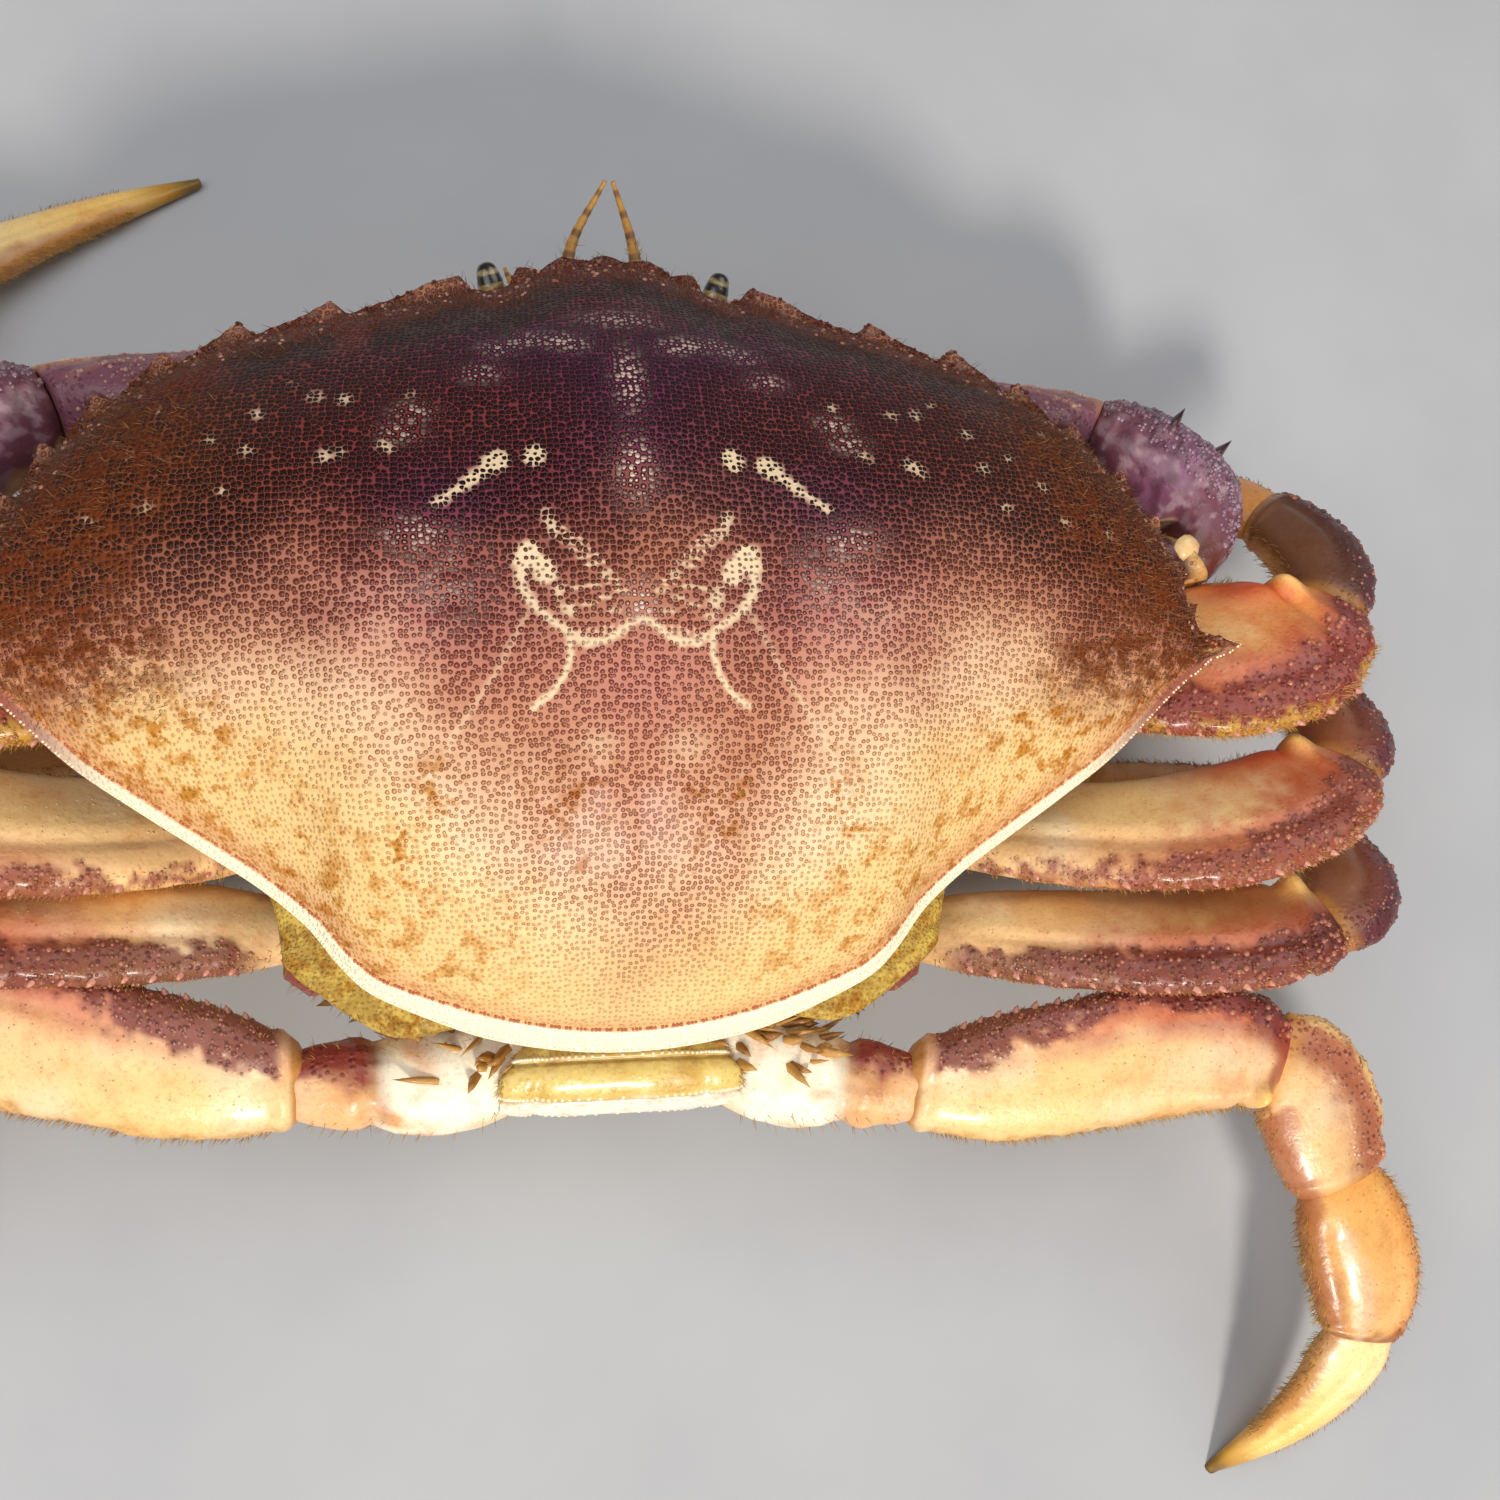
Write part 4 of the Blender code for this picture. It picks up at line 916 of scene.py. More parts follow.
def shell_paint(x, y, margin):
    """Ground and ring colours and all masks of the back at the given places."""
    front, rear = front_of(x), rear_of(x)
    deep = (front - y) / np.maximum(front - rear, 1e-6)
    ax = np.abs(x)
    flat = np.stack([x, y, np.zeros_like(x)], -1)
    ripple = noise(flat, 1.3, 5)
    drift = noise(flat, 9.0, 1) * 0.05 + noise(flat, 3.5, 2) * 0.025
    dark_line = np.interp(ax, *zip((0, 0.50), (10, 0.54), (20, 0.55), (30, 0.53), (45, 0.57),
                                   (60, 0.64), (72, 0.74), (80, 0.87)))
    pale_line = np.interp(ax, *zip((0, 0.97), (12, 0.90), (20, 0.80), (30, 0.75), (45, 0.79),
                                   (60, 0.88), (72, 1.05), (80, 1.15)))
    dark = 1 - ramp(deep + drift, dark_line - 0.22, dark_line + 0.12)
    middle = 1 - ramp(deep + drift, pale_line - 0.26, pale_line + 0.05)
    violet = np.clip(spots(x, y, VIOLET_SPOTS), 0, 1)
    mauve = np.clip(spots(x, y, MAUVE_SPOTS), 0, 1)
    gold = ramp(margin + noise(flat, 8, 17) * 4, 24, 7)
    pale = layered((242, 214, 176), ((238, 202, 138), gold))
    ground = layered(
        pale,
        ((196, 138, 108), middle),
        ((200, 128, 124), mauve * 0.85),
        ((126, 54, 52), dark),
        ((132, 74, 40), dark * ramp(ax, 34, 60) * 0.8),
        ((112, 46, 76), ramp(dark, 0.4, 1) * violet))
    ink = layered(
        (180, 120, 72),
        ((132, 66, 48), middle),
        ((112, 46, 56), mauve * 0.6),
        ((40, 8, 8), dark),
        ((46, 18, 8), dark * ramp(ax, 30, 55)),
        ((40, 10, 26), violet * ramp(dark, 0.2, 0.9)))
    cover = 0.08 + 0.2 * ramp(margin, 4, 18) + 0.24 * middle + 0.48 * dark
    patch = shell_marks(x, y, ripple, flat)
    grain = spots(x, y, GRAIN_SPOTS) + 0.5 * spot(x, y, 22.6, 1.6, 4.0, 4.5) \
        * ramp(ripple, -0.6, 0.2) + 0.25 * ramp(margin, 5.5, 2.5) * ramp(y, 8, 20)
    side = np.clip(ramp(margin, 19, 4) * ramp(ax, 18, 36) * ramp(y, 4, -8), 0, 1)
    algae = spots(x, y, ALGAE_SPOTS, side * 0.9)
    algae += 0.9 * closeness(x, y, [(3.5, -20.5), (8.6, -24.0), (7.0, -32.0)], 1.6, 0.9)
    algae += 0.8 * closeness(x, y, [(10.5, -28.0), (13.0, -22.0), (16.0, -18.0)], 1.8, 1.2)
    fuzz = ramp(margin + noise(flat, 7, 8) * 4.5, 27, 12) * ramp(ax, 46, 60) * ramp(y, -15, -4)
    fuzz = np.maximum(fuzz, 0.65 * ramp(margin + noise(flat, 5, 9) * 1.5, 8, 3) * ramp(y, 6, 14))

    # The pale rim behind, its ruddy edge, and the wet dark band under the front margin
    wide = rim_width(x)
    plain = ramp(margin, wide + 0.15, wide - 0.15) * ramp(y, 2, -3)
    algae, fuzz, patch, cover = (v * (1 - plain) for v in (algae, fuzz, patch, cover))
    rim = layered((252, 240, 210), ((158, 92, 76), ramp(ax, 60, 76)))
    edge = ramp(margin, 4.6, 2.4) * ramp(y, 0, -6) * (1 - plain)
    band = ramp(margin + noise(flat, 6, 12) * 2.5 + noise(flat, 1.8, 13), 11.5, 9.5)
    band *= ramp(margin, 2.5, 5.0)
    wet = band * ramp(y, 22, 34) * ramp(noise(flat, 11, 14), -0.75, -0.2)
    red = wet * ramp(-x, 22, 34) * ramp(noise(flat, 6, 15), -0.2, 0.4)
    ground = layered(
        blend(ground, rim, plain),
        ((216, 150, 104), edge * 0.5),
        ((70, 40, 26), 0.85 * wet),
        ((140, 56, 40), 0.8 * red))
    ink = layered(ink, ((34, 14, 12), 0.8 * wet), ((84, 24, 20), 0.8 * red))
    return (ground, ink, np.clip(cover, 0, 1), patch, np.clip(grain, 0, 1),
            np.clip(algae, 0, 1), np.clip(fuzz, 0, 1), plain)


def carapace_rings():
    """Rings of the back, its rounded edge and the turned-under flank."""
    edge, base = whole(HALF_EDGE), whole(HALF_BASE)
    centre = np.array(BODY_CENTRE)
    rows, margins = [], []
    along = np.roll(base, -1, 0) - np.roll(base, 1, 0)
    outward = unit(np.stack([-along[:, 1], along[:, 0]], -1))
    radial = base - centre
    outward *= np.sign((outward * radial).sum(-1))[:, None]
    lean = np.clip((unit(radial) * outward).sum(-1), 0.3, 1)
    length = np.linalg.norm(radial, axis=-1)
    for share in np.concatenate([np.linspace(0.012, 0.9, BACK_ROWS),
                                 np.linspace(0.904, 1.0, MARGIN_ROWS)]):
        tooth = max(0.0, (share - 0.9) / 0.1)
        flat = centre + (base * (1 - tooth) + edge * tooth - centre) * share
        margin = (1 - share) * length * lean
        x, y = flat[:, 0], flat[:, 1]
        z = back_height(x, y)
        rear_side = ramp(y, 3, -4)
        front_side = 1 - rear_side
        wide = rim_width(x)
        z -= rear_side * RIM_GROOVE * bell(margin - wide, 0.4, 0.4)
        z += rear_side * RIM_GROOVE * bell(margin, wide * 0.5, wide * 0.42)
        z += front_side * 0.25 * noise(np.stack([x, y, 0 * x], -1), 1.6, 3) * ramp(margin, 9, 2)
        z += 0.10 * noise(np.stack([x, y, 0 * x], -1), 4.0, 4)
        rows.append(np.stack([x, y, z], -1))
        margins.append(margin)
    top_rows = len(rows)
    rim = rows[-1]
    thick = MARGIN_THICKNESS
    inner = base * 0.97 + centre * 0.03
    high = margin_height(base[:, 0], base[:, 1]) - thick
    for k in range(1, EDGE_ROWS):
        t = k / EDGE_ROWS
        flat = rim[:, :2] + (inner - rim[:, :2]) * (1 - math.cos(t * math.pi / 2))
        z = rim[:, 2] + (high - rim[:, 2]) * math.sin(t * math.pi / 2)
        rows.append(np.stack([flat[:, 0], flat[:, 1], z], -1))
        margins.append(-thick * t * np.ones(len(base)))
    foot = breast_edge(base)
    pouch = spots(*base.T, POUCH_SPOTS)
    for k in range(FLANK_ROWS):
        share = k / (FLANK_ROWS - 1)
        flat = inner + (foot - inner) * share
        z = high + (wall_top(foot[:, 1]) - high) * share ** 1.15
        bulge = 1.5 * math.sin(share * math.pi) + 0.5 * math.exp(-((share - 0.1) / 0.05) ** 2)
        line = -0.8 * math.exp(-((share - 0.42) / 0.025) ** 2)
        flat = flat + outward * (bulge + line) * 0.6
        swell = 11.0 * math.sin(min(share * 1.25, 1.0) * math.pi) ** 0.8
        flat = flat + outward * (swell * pouch)[:, None]
        z -= (bulge + line) * 0.55
        points = np.stack([flat[:, 0], flat[:, 1], z], -1)
        points[:, 2] += 0.25 * noise(points, 2.2, 7)
        rows.append(points)
        margins.append(-thick - share * FLANK_LENGTH * np.ones(len(base)))
    return np.array(rows), np.array(margins), top_rows


TOOTH_GRANULES = 800


def build_carapace(material):
    """The painted carapace with its beads and tooth granules.

    Returns the rings, how many of them lie on top, their normals and chart, and the felt.
    """
    rings, margins, top_rows = carapace_rings()
    x, y = rings[..., 0], rings[..., 1]
    ground, ink, cover, patch, grain, algae, fuzz, plain = shell_paint(x, y, np.maximum(margins, 0))
    below = ramp(-margins, 0.8, 2.4)  # 1 on the turned-under flank
    point = ramp(np.linalg.norm(whole(HALF_EDGE) - whole(HALF_BASE), axis=-1), 1.0, 2.4)[None] \
        * ramp(margins, 2.2, 0.5) * ramp(-margins, 1.6, 0.6) * ramp(y, 4, 12)
    ground = layered(ground, ((208, 150, 112), 0.75 * point))
    ink = layered(ink, ((150, 84, 60), 0.8 * point))
    fuzz *= 1 - 0.8 * point
    flank = np.clip((-margins - MARGIN_THICKNESS) / FLANK_LENGTH, 0, 1)
    front = ramp(y, 6, 18)
    soft = noise(rings, 6.0, 11)
    flank_tint = layered(
        (206, 176, 84),
        (CREAM, ramp(flank + 0.2 * soft, 0.3, 0.9)),
        ((140, 70, 40), front * ramp(flank, 0.75, 0.1) * 0.85),
        ((232, 196, 150), front * ramp(flank, 0.5, 1.0) * 0.7))
    ground = blend(ground, flank_tint, below)
    ink = blend(ink, flank_tint * 0.6, below)
    cover = cover * (1 - below) + 0.12 * below
    fuzz = fuzz * (1 - below) + below * (0.45 + 0.35 * front) * ramp(flank, 0.95, 0.6)
    algae = algae * (1 - below) + below * 0.8 * (1 - front)
    plain = plain * (1 - below)
    patch *= 1 - below
    grain *= 1 - below
    piece = Piece()
    steps = np.linalg.norm(np.diff(rings, axis=0), axis=-1)
    start = np.linalg.norm(rings[0, :, :2] - BODY_CENTRE, axis=-1)[None]
    reach = np.vstack([start, start + np.cumsum(steps, axis=0)])
    heading = unit(whole(HALF_BASE) - BODY_CENTRE)
    chart = heading[None] * reach[..., None] / CHART_UNIT
    mask = np.stack([cover, patch, grain, np.ones_like(cover)], -1)
    faces = grid_faces(*rings.shape[:2])
    piece.add(with_hubs(rings), faces, hub_values(ground), hub_values(mask), hub_values(chart))
    stain = [hub_values(np.stack([algae, fuzz, plain], -1))]
    inks = [hub_values(ink)]
    normals = ring_normals(rings)
    normals[..., 2] = np.where(margins >= 0, np.abs(normals[..., 2]), normals[..., 2])

    bead = dome_form(6)
    generator = np.random.default_rng(4)

    def add_beads(rows, columns, radius, height, tint):
        before = piece.count
        size = radius * generator.uniform(0.8, 1.25, len(rows))
        scatter(piece, bead, rings[rows, columns], normals[rows, columns], size, size * height, tint,
                (0, 0, 0, 1))
        count = piece.count - before
        stain.append(np.tile([0.0, 0.0, 1.0], (count, 1)))
        inks.append(np.broadcast_to(paint(BROWN), (count, 3)))

    columns = np.arange(rings.shape[1])
    top = margins[:top_rows]
    rear_columns = columns[(y[top_rows - 1] < 0)]
    wide = rim_width(x[top_rows - 1])
    for distance, spacing, radius, colour in ((wide + 0.25, 0.66, 0.26, (188, 112, 78)),
                                              (0.1 + 0 * wide, 0.7, 0.2, (250, 232, 196))):
        line = np.argmin(np.abs(top - distance), axis=0)
        round_trip = np.diff(rings[line, columns], axis=0, append=rings[line[:1], columns[:1]])
        length = np.linalg.norm(round_trip, axis=-1)
        along = np.cumsum(length)
        picked = [c for c in rear_columns if int(along[c] / spacing) != int(along[c - 1] / spacing)]
        add_beads(line[picked], picked, radius, 0.9, paint(colour))
    front_columns = columns[(y[top_rows - 1] >= 0)]
    chosen = generator.choice(front_columns, TOOTH_GRANULES)
    distance = generator.uniform(0, 1, TOOTH_GRANULES) ** 1.5 * 4.5
    line = np.array([np.argmin(np.abs(top[:, c] - d)) for c, d in zip(chosen, distance)])
    shade = layered((104, 52, 46), ((214, 160, 134), generator.uniform(0, 1, TOOTH_GRANULES) ** 3))
    add_beads(line, chosen, 0.31, 0.8, shade)
    thing = piece.build("shell_carapace", material, "carapace_shell", ["carapace"])
    add_colours(thing.data, "ink", np.vstack(inks))
    add_colours(thing.data, "stain", np.vstack(stain))
    return rings, top_rows, normals, chart, fuzz


# Limbs

def hermite(start, end, start_way, end_way, t):
    """Point and direction of a cubic that leaves and arrives in the given directions."""
    cosine = max(-1.0, min(1.0, start_way.dot(end_way)))
    pull = (end - start).length * (1 + 0.32 * (1 - cosine) / 1.5)
    a, b = start_way * pull, end_way * pull
    point = ((2 * t ** 3 - 3 * t ** 2 + 1) * start + (t ** 3 - 2 * t ** 2 + t) * a
             + (3 * t ** 2 - 2 * t ** 3) * end + (t ** 3 - t ** 2) * b)
    way = ((6 * t ** 2 - 6 * t) * start + (3 * t ** 2 - 4 * t + 1) * a
           + (6 * t - 6 * t ** 2) * end + (3 * t ** 2 - 2 * t) * b)
    return point, way.normalized()


def carried(up, old_way, new_way):
    """An upright vector carried along a bend without twist."""
    turned = old_way.rotation_difference(new_way) @ up
    return (turned - new_way * turned.dot(new_way)).normalized()


def mirror_x(point):
    """The same place on the other side of the body."""
    return Vector((-point.x, point.y, point.z))


class Limb:
    """Fine rings of one limb piece with the frame of each ring."""

    def __init__(self, start, end, start_way, end_way, up, form, depth, thickness, rows, sides):
        begin = start + start_way * HALF_GAP
        finish_at = end - end_way * HALF_GAP
        self.t = np.linspace(0, 1, rows)
        centres, ways, ups = [], [], []
        way = start_way
        for place in self.t:
            centre, new_way = hermite(begin, finish_at, start_way, end_way, float(place))
            up = carried(up, way, new_way)
            way = new_way
            centres.append(centre)
            ways.append(way)
            ups.append(up)
        self.end_up = up
        self.centre, self.way, self.up = (np.array(v) for v in (centres, ways, ups))
        self.across = np.cross(self.way, self.up)
        places, deep, thick = np.array(form, float).T
        self.height = flow(self.t, places, deep) * depth / 2
        self.width = flow(self.t, places, thick) * thickness / 2
        self.c, self.s = circle(sides)
        self.sides = sides
        self.flare = np.zeros((rows, sides))

    def rings(self, power=2.2, keel=0.1, lift=None):
        """The rings' points; lift pushes each point outward by a distance."""
        u = squared(self.c, power) * (1 - keel * self.s)
        v = squared(self.s, power)
        v = v[None, :] * (1 + self.flare)
        side = self.across[:, None] * (u[None, :, None] * self.width[:, None, None])
        tall = self.up[:, None] * (v * self.height[:, None])[..., None]
        rings = self.centre[:, None] + side + tall
        if lift is not None:
            normal = unit(self.across[:, None] * (self.c[None, :, None] / self.width[:, None, None])
                          + self.up[:, None] * (self.s[None, :, None] / self.height[:, None, None]))
            rings = rings + normal * lift[..., None]
        return rings


def closed_ends(rings, way_in, way_out, dome, hollow):
    """Rings with a rounded knob before the first and a hollow inside the last."""
    def shrunk(ring, way, steps):
        centre = ring.mean(0)
        return np.array([centre + (ring - centre) * scale - way * back for scale, back in steps])

    front = shrunk(rings[0], way_in, (
        (0.35, dome), (0.62, dome * 0.86), (0.8, dome * 0.6), (0.9, dome * 0.3)))
    rear = shrunk(rings[-1], way_out, (
        (0.93, -0.15), (0.88, 0.2), (0.82, hollow * 0.5), (0.7, hollow * 0.85), (0.4, hollow)))
    return np.vstack([front, rings, rear]), len(front), len(rear)


def add_limb(piece, rings, ways, tint, mask, knob, socket, dome, hollow, dirt=0.0):
    """Add a limb piece with a rounded knob before it and a hollow behind it.

    ways holds its first and last directions, knob the colour before it and socket one
    colour or one for each ring behind it; without a socket the piece ends in a point.
    """
    ends, before, after = closed_ends(rings, *ways, dome, hollow)
    if socket is None:
        ends, after = ends[:before + len(rings)], 0
    sides = rings.shape[1]
    front = np.broadcast_to(knob, (before, sides, 3))
    rear = np.zeros((0, sides, 3)) if socket is None else \
        np.broadcast_to(np.reshape(socket, (-1, 1, 3)), (after, sides, 3))
    skin = (0, dirt, 1, 1.0)
    masks = [np.tile(skin, (before, sides, 1)), mask, np.tile(skin, (after, sides, 1))]
    piece.add_tube(ends, np.vstack([front, tint, rear]), np.vstack(masks))


# How far round from the ridge the dark band reaches along the thigh, as a sine
RIDGE_LINES = {2: [0.9, 0.86, 0.55, 0.2, 0.1], 3: [0.94, 0.9, 0.6, 0.12, 0.0],
               4: [0.75, 0.6, 0.45, 0.3, 0.2], 5: [0.3, 0.52, 0.72, 0.55, 0.3]}

GLOW_START = {2: 0.25, 3: 0.45, 4: 0.05, 5: 0.25}
# Leg 4's orange layer is a darker brown-orange: partly the leg's own colour, partly painted shade from
# the legs on either side of it
LEG_GLOW = {2: (0.95, (236, 132, 52)), 3: (0.9, (216, 108, 46)),
            4: (0.85, (172, 92, 38)), 5: (0.45, (240, 176, 138))}
DEEP_RED = {2: (138, 50, 42), 3: (146, 70, 52), 4: (112, 44, 34), 5: (112, 36, 36)}


def thigh_knob(t, s):
    """1 on the swelling at the thigh's outer front corner."""
    return np.exp(-((t - 0.955) / 0.035) ** 2 - ((s + 0.6) / 0.3) ** 2)


def leg_paint(kind, number, t, s, upper, points):
    """Colour and masks of a leg piece by place along it and round it."""
    t, s = np.broadcast_arrays(t[:, None], s[None, :])
    broken = noise(points, 5.0, 21) * 0.12 + noise(points, 1.4, 22) * 0.09
    ridge = s + broken
    strength, glow = LEG_GLOW[number]
    deep_red = DEEP_RED[number]
    clouds = ramp(noise(points, 8.0, 23), -0.2, 0.8) * 0.7
    pale = layered((252, 212, 142), ((255, 238, 196), clouds))
    if number == 5:
        pale = pale * 0.92
    granule = np.zeros_like(t)
    dirt = np.zeros_like(t)
    if kind == "base":
        coxa = layered(
            (254, 246, 222),
            ((244, 212, 150), ramp(noise(points, 4.0, 24), 0.0, 0.7) * 0.7),
            ((214, 132, 48), 0.75 * ramp(noise(points, 3.0, 26), 0.15, 0.5) * ramp(t, 0.42, 0.62)))
        outer = layered(
            (236, 184, 126),
            ((142, 56, 42), ramp(ridge + 0.4 * noise(points, 1.6, 27), -0.1, 0.6)),
            ((236, 188, 140), ramp(t, 0.86, 0.96) * ramp(ridge, 0.5, 0.2)))
        tint = layered(blend(coxa, outer, ramp(t, 0.69, 0.73)),
                       ((150, 104, 52), 0.8 * bell(t, 0.70, 0.02)))
        granule = ramp(t, 0.72, 0.78) * ramp(ridge, -0.2, 0.5)
        dirt = dirt + 0.4 * ramp(ridge, 0.3, 0.9) * ramp(t, 0.5, 0.3)
    elif kind == "merus":
        tint = layered(
            pale,
            (glow, strength * ramp(t + broken, GLOW_START[number], 0.95) * (0.45 + 0.55 * upper)),
            ((238, 172, 138), (0.6 if number == 5 else 0.3) * ramp(ridge, 0.0, 0.7)))
        line = np.interp(t, [0, 0.3, 0.6, 0.9, 1.0], RIDGE_LINES[number])
        rough = noise(points, 1.6, 28) * 0.16
        band = ramp(ridge + rough, line - 0.02, line + 0.16)
        band = band * (ramp(t, 0.0, 0.04) if number == 5 else ramp(t, 0.02, 0.12))
        tint = layered(
            tint,
            ((196, 96, 62), 0.8 * ramp(ridge, line - 0.5, line + 0.02) * ramp(t, 0.25, 0.6)),
            (deep_red, 0.88 * band),
            ((158, 88, 84), 0.4 * band * ramp(noise(points, 2.4, 25), 0.0, 0.5)),
            (deep_red, 0.75 * ramp(t, 0.84, 0.97) * ramp(ridge, -0.1, 0.5)),
            (AMBER, 0.55 * ramp(ridge, -0.7, -0.95)))
        if number in (2, 3):
            tint = layered(tint, ((212, 72, 24), 0.85 * ramp(ridge, -0.25, -0.6) * ramp(t, 0.45, 0.75)))
        if number == 2:
            tint = layered(tint, ((216, 168, 66), 0.75 * ramp(ridge, 0.93, 0.99)))
        knob = thigh_knob(t, s)
        tint = layered(
            tint,
            ((255, 204, 116), np.clip(knob * 1.4, 0, 1)),
            (CREAM, 0.6 * ramp(t, 0.1, 0.0) * ramp(ridge, 0.5, 0.1)))
        if number == 5:
            end = ramp(t + 0.04 * noise(points, 2.0, 29), 0.93, 0.97)
            tint = layered(tint, ((156, 62, 44), 0.8 * end * ramp(ridge, -0.75, -0.35)))
        # Leg 4's front half near the body made browner: painted shade of the gap between legs 3 and 4
        if number == 4:
            tint = layered(tint, ((118, 62, 24), 0.6 * ramp(ridge, -0.1, -0.5) * ramp(t, 0.95, 0.6)))
        granule = band + 0.2 * ramp(ridge, line - 0.5, line) * ramp(t, 0.3, 0.6)
        dirt = 0.55 * ramp(ridge, -0.72, -0.95) + 0.35 * ramp(ridge, 0.93, 1.0)
    elif kind == "carpus":
        tint = layered(
            pale,
            (glow, strength * 0.8 * (0.5 + 0.5 * upper)),
            ((150, 70, 52), 0.85 * ramp(ridge, -0.1, 0.45)))
        # Upper side of the carpus darkened where it curls in under the thigh: on leg 2 partly its own
        # wet dark brown and partly painted shade, on legs 3 and 4 painted shade
        if number == 2:
            tint = layered(tint, ((58, 24, 22), 0.85 * upper))
        elif number in (3, 4):
            tint = layered(tint, ((112, 50, 44), 0.6 * upper))
        tint = layered(
            tint,
            (PLUM if number != 5 else (196, 120, 84), 0.75 * ramp(ridge, 0.45, 0.85)),
            (AMBER, 0.6 * ramp(t, 0.1, 0.0) + 0.5 * ramp(t, 0.93, 1.0)))
        if number == 5:
            tint = layered(
                tint,
                ((164, 84, 46), 0.8 * ramp(ridge, -0.35, -0.7) * ramp(t, 0.1, 0.3)),
                ((252, 216, 138), 0.7 * ramp(ridge, 0.75, 0.95)))
        granule = ramp(ridge, 0.0, 0.6)
    elif kind == "propodus":
        tint = layered(
            (232, 172, 96) if number == 5 else (222, 150, 84),
            (CREAM, ramp(t + broken, 0.25, 0.75) * (0.25 if number == 5 else 0.6)),
            ((206, 130, 60) if number == 5 else (150, 78, 50), 0.6 * ramp(ridge, 0.45, 0.9)),
            ((228, 158, 76), 0.6 * ramp(t, 0.12, 0.0) + 0.55 * ramp(t, 0.9, 1.0)))
        granule = 0.6 * ramp(ridge, 0.4, 0.9)
        if number == 5:
            tint = layered(
                tint,
                ((150, 76, 36), 0.75 * ramp(ridge, -0.45, -0.8) * ramp(t, 1.0, 0.9)),
                ((122, 56, 30), 0.7 * ramp(t + 0.05 * noise(points, 2.0, 34), 0.93, 0.98)),
                ((236, 196, 176), 0.45 * ramp(np.abs(ridge + 0.25), 0.25, 0.05) * ramp(t, 0.1, 0.3)))
    else:
        tint = layered(
            (255, 226, 162),
            ((252, 206, 116), ramp(t, 0.1, 0.6)),
            ((160, 88, 30), 0.7 * ramp(ridge, -0.4, -0.8) * ramp(t, 0.95, 0.6)),
            ((206, 134, 56), 0.45 * ramp(np.abs(s + broken) - 0.55 * (1 - t), 0.15, 0.7)
             * ramp(t, 0.85, 0.3)),
            ((190, 140, 40), ramp(t, 0.68, 0.9)),
            ((124, 96, 32), ramp(t, 0.86, 0.97)))
        granule = 0.3 * ramp(ridge, 0.2, 0.9) * ramp(t, 0.8, 0.3)
    under = 1 - upper
    tint = layered(tint, (IVORY, 0.25 * under * (1 - ramp(np.abs(ridge), 0.5, 0.9))))
    return tint, masked(np.clip(granule, 0, 1) + 0 * t, np.clip(dirt, 0, 1))


def leg_lift(kind, number, t, s, c, points):
    """How far each point of a leg piece stands out from its plain form."""
    t, s = np.broadcast_arrays(t[:, None], s[None, :])
    c = np.broadcast_to(c[None, :], t.shape)
    rough = noise(points, 2.0, 31)
    lift = 0.10 * noise(points, 7.0, 30)
    if kind == "merus":
        if number == 5:
            lift = lift + (0.9 + 0.5 * rough) * bell(t, 0.012, 0.022) \
                + 1.6 * ramp(s, 0.2, 0.9) * ramp(t, 0.5, 0.05)
        lift += ramp(s, 0.7, 1.0) * (0.35 + 0.25 * rough) * ramp(t, 0.0, 0.1)
        lift -= 0.55 * bell(s, 0.52, 0.12) * ramp(t, 0.05, 0.3) * ramp(t, 0.99, 0.85)
        lift += 0.5 * bell(t, 0.94, 0.02) * ramp(np.abs(c), 0.1, 0.6)
        lift += 1.5 * thigh_knob(t, s)
        lift += 1.1 * bell(s, -0.6, 0.2) * ramp(t, 0.55, 0.85) * ramp(t, 1.0, 0.96)
        lift -= 0.45 * bell(t, 0.895, 0.018)
        lift += 0.3 * ramp(s, -0.8, -1.0) * rough
    elif kind == "carpus":
        lift += ramp(s, 0.3, 0.9) * 0.25 * rough
        lift -= 0.5 * bell(s, 0.15, 0.12) * ramp(t, 0.1, 0.3) * ramp(t, 1.0, 0.8)
        lift += 0.45 * bell(t, 0.93, 0.03)
    elif kind == "propodus":
        lift = lift - 0.4 * (bell(s, 0.45, 0.14) + bell(s, -0.45, 0.14)) \
            * ramp(t, 0.1, 0.3) * ramp(t, 1.0, 0.8)
        lift += 0.4 * bell(t, 0.95, 0.025)
    elif kind == "dactyl":
        lift -= 0.5 * bell(s, 0.0, 0.16) * ramp(t, 0.04, 0.16) * ramp(t, 0.98, 0.6)
        lift = lift * ramp(t, 1.0, 0.75)
    else:
        lift = lift + 1.1 * np.sin(np.clip(t / 0.70, 0, 1) * math.pi) ** 0.7 \
            - 0.9 * bell(t, 0.705, 0.025)
        lift = lift + 0.3 * bell(t, 0.8, 0.05) + 0.25 * rough - 0.5 * ramp(t, 0.9, 1.0)
        if number == 4:
            lift += 2.2 * ramp(s, 0.0, 0.7) * ramp(t, 0.4, 0.6)
        lift += 0.25 * noise(points, 1.1, 33) * ramp(t, 0.6, 0.7) * ramp(t, 0.9, 0.8)
    return lift


def swept(point, pivot, degrees):
    """A point turned about an upright line through the leg's root."""
    return pivot + Matrix.Rotation(math.radians(degrees), 3, "Z") @ (point - pivot)


def breast_corners(inset=0.0):
    """Corners of the breast plate's right half, where neighbouring walls meet."""
    names = list(WALLS)
    corners = []
    for first, second in zip(names, names[1:]):
        a, b = wall_normal(first), wall_normal(second)
        da, db = WALLS[first][1] - inset, WALLS[second][1] - inset
        det = a[0] * b[1] - a[1] * b[0]
        corners.append(np.array([(da * b[1] - db * a[1]) / det, (a[0] * db - b[0] * da) / det]))
    return corners


def wall_middle(name):
    """Middle of a wall of the breast plate, on the right side."""
    corners = breast_corners()
    index = list(WALLS).index(name)
    return (corners[index - 1] + corners[index]) / 2


# How much further the thighs' rear and front edges stand out, as shares of the half depth
THIGH_FLARE = {2: (0.42, 0.42), 3: (0.16, 0.24), 4: (0.1, 0.06), 5: (0.17, 0.04)}

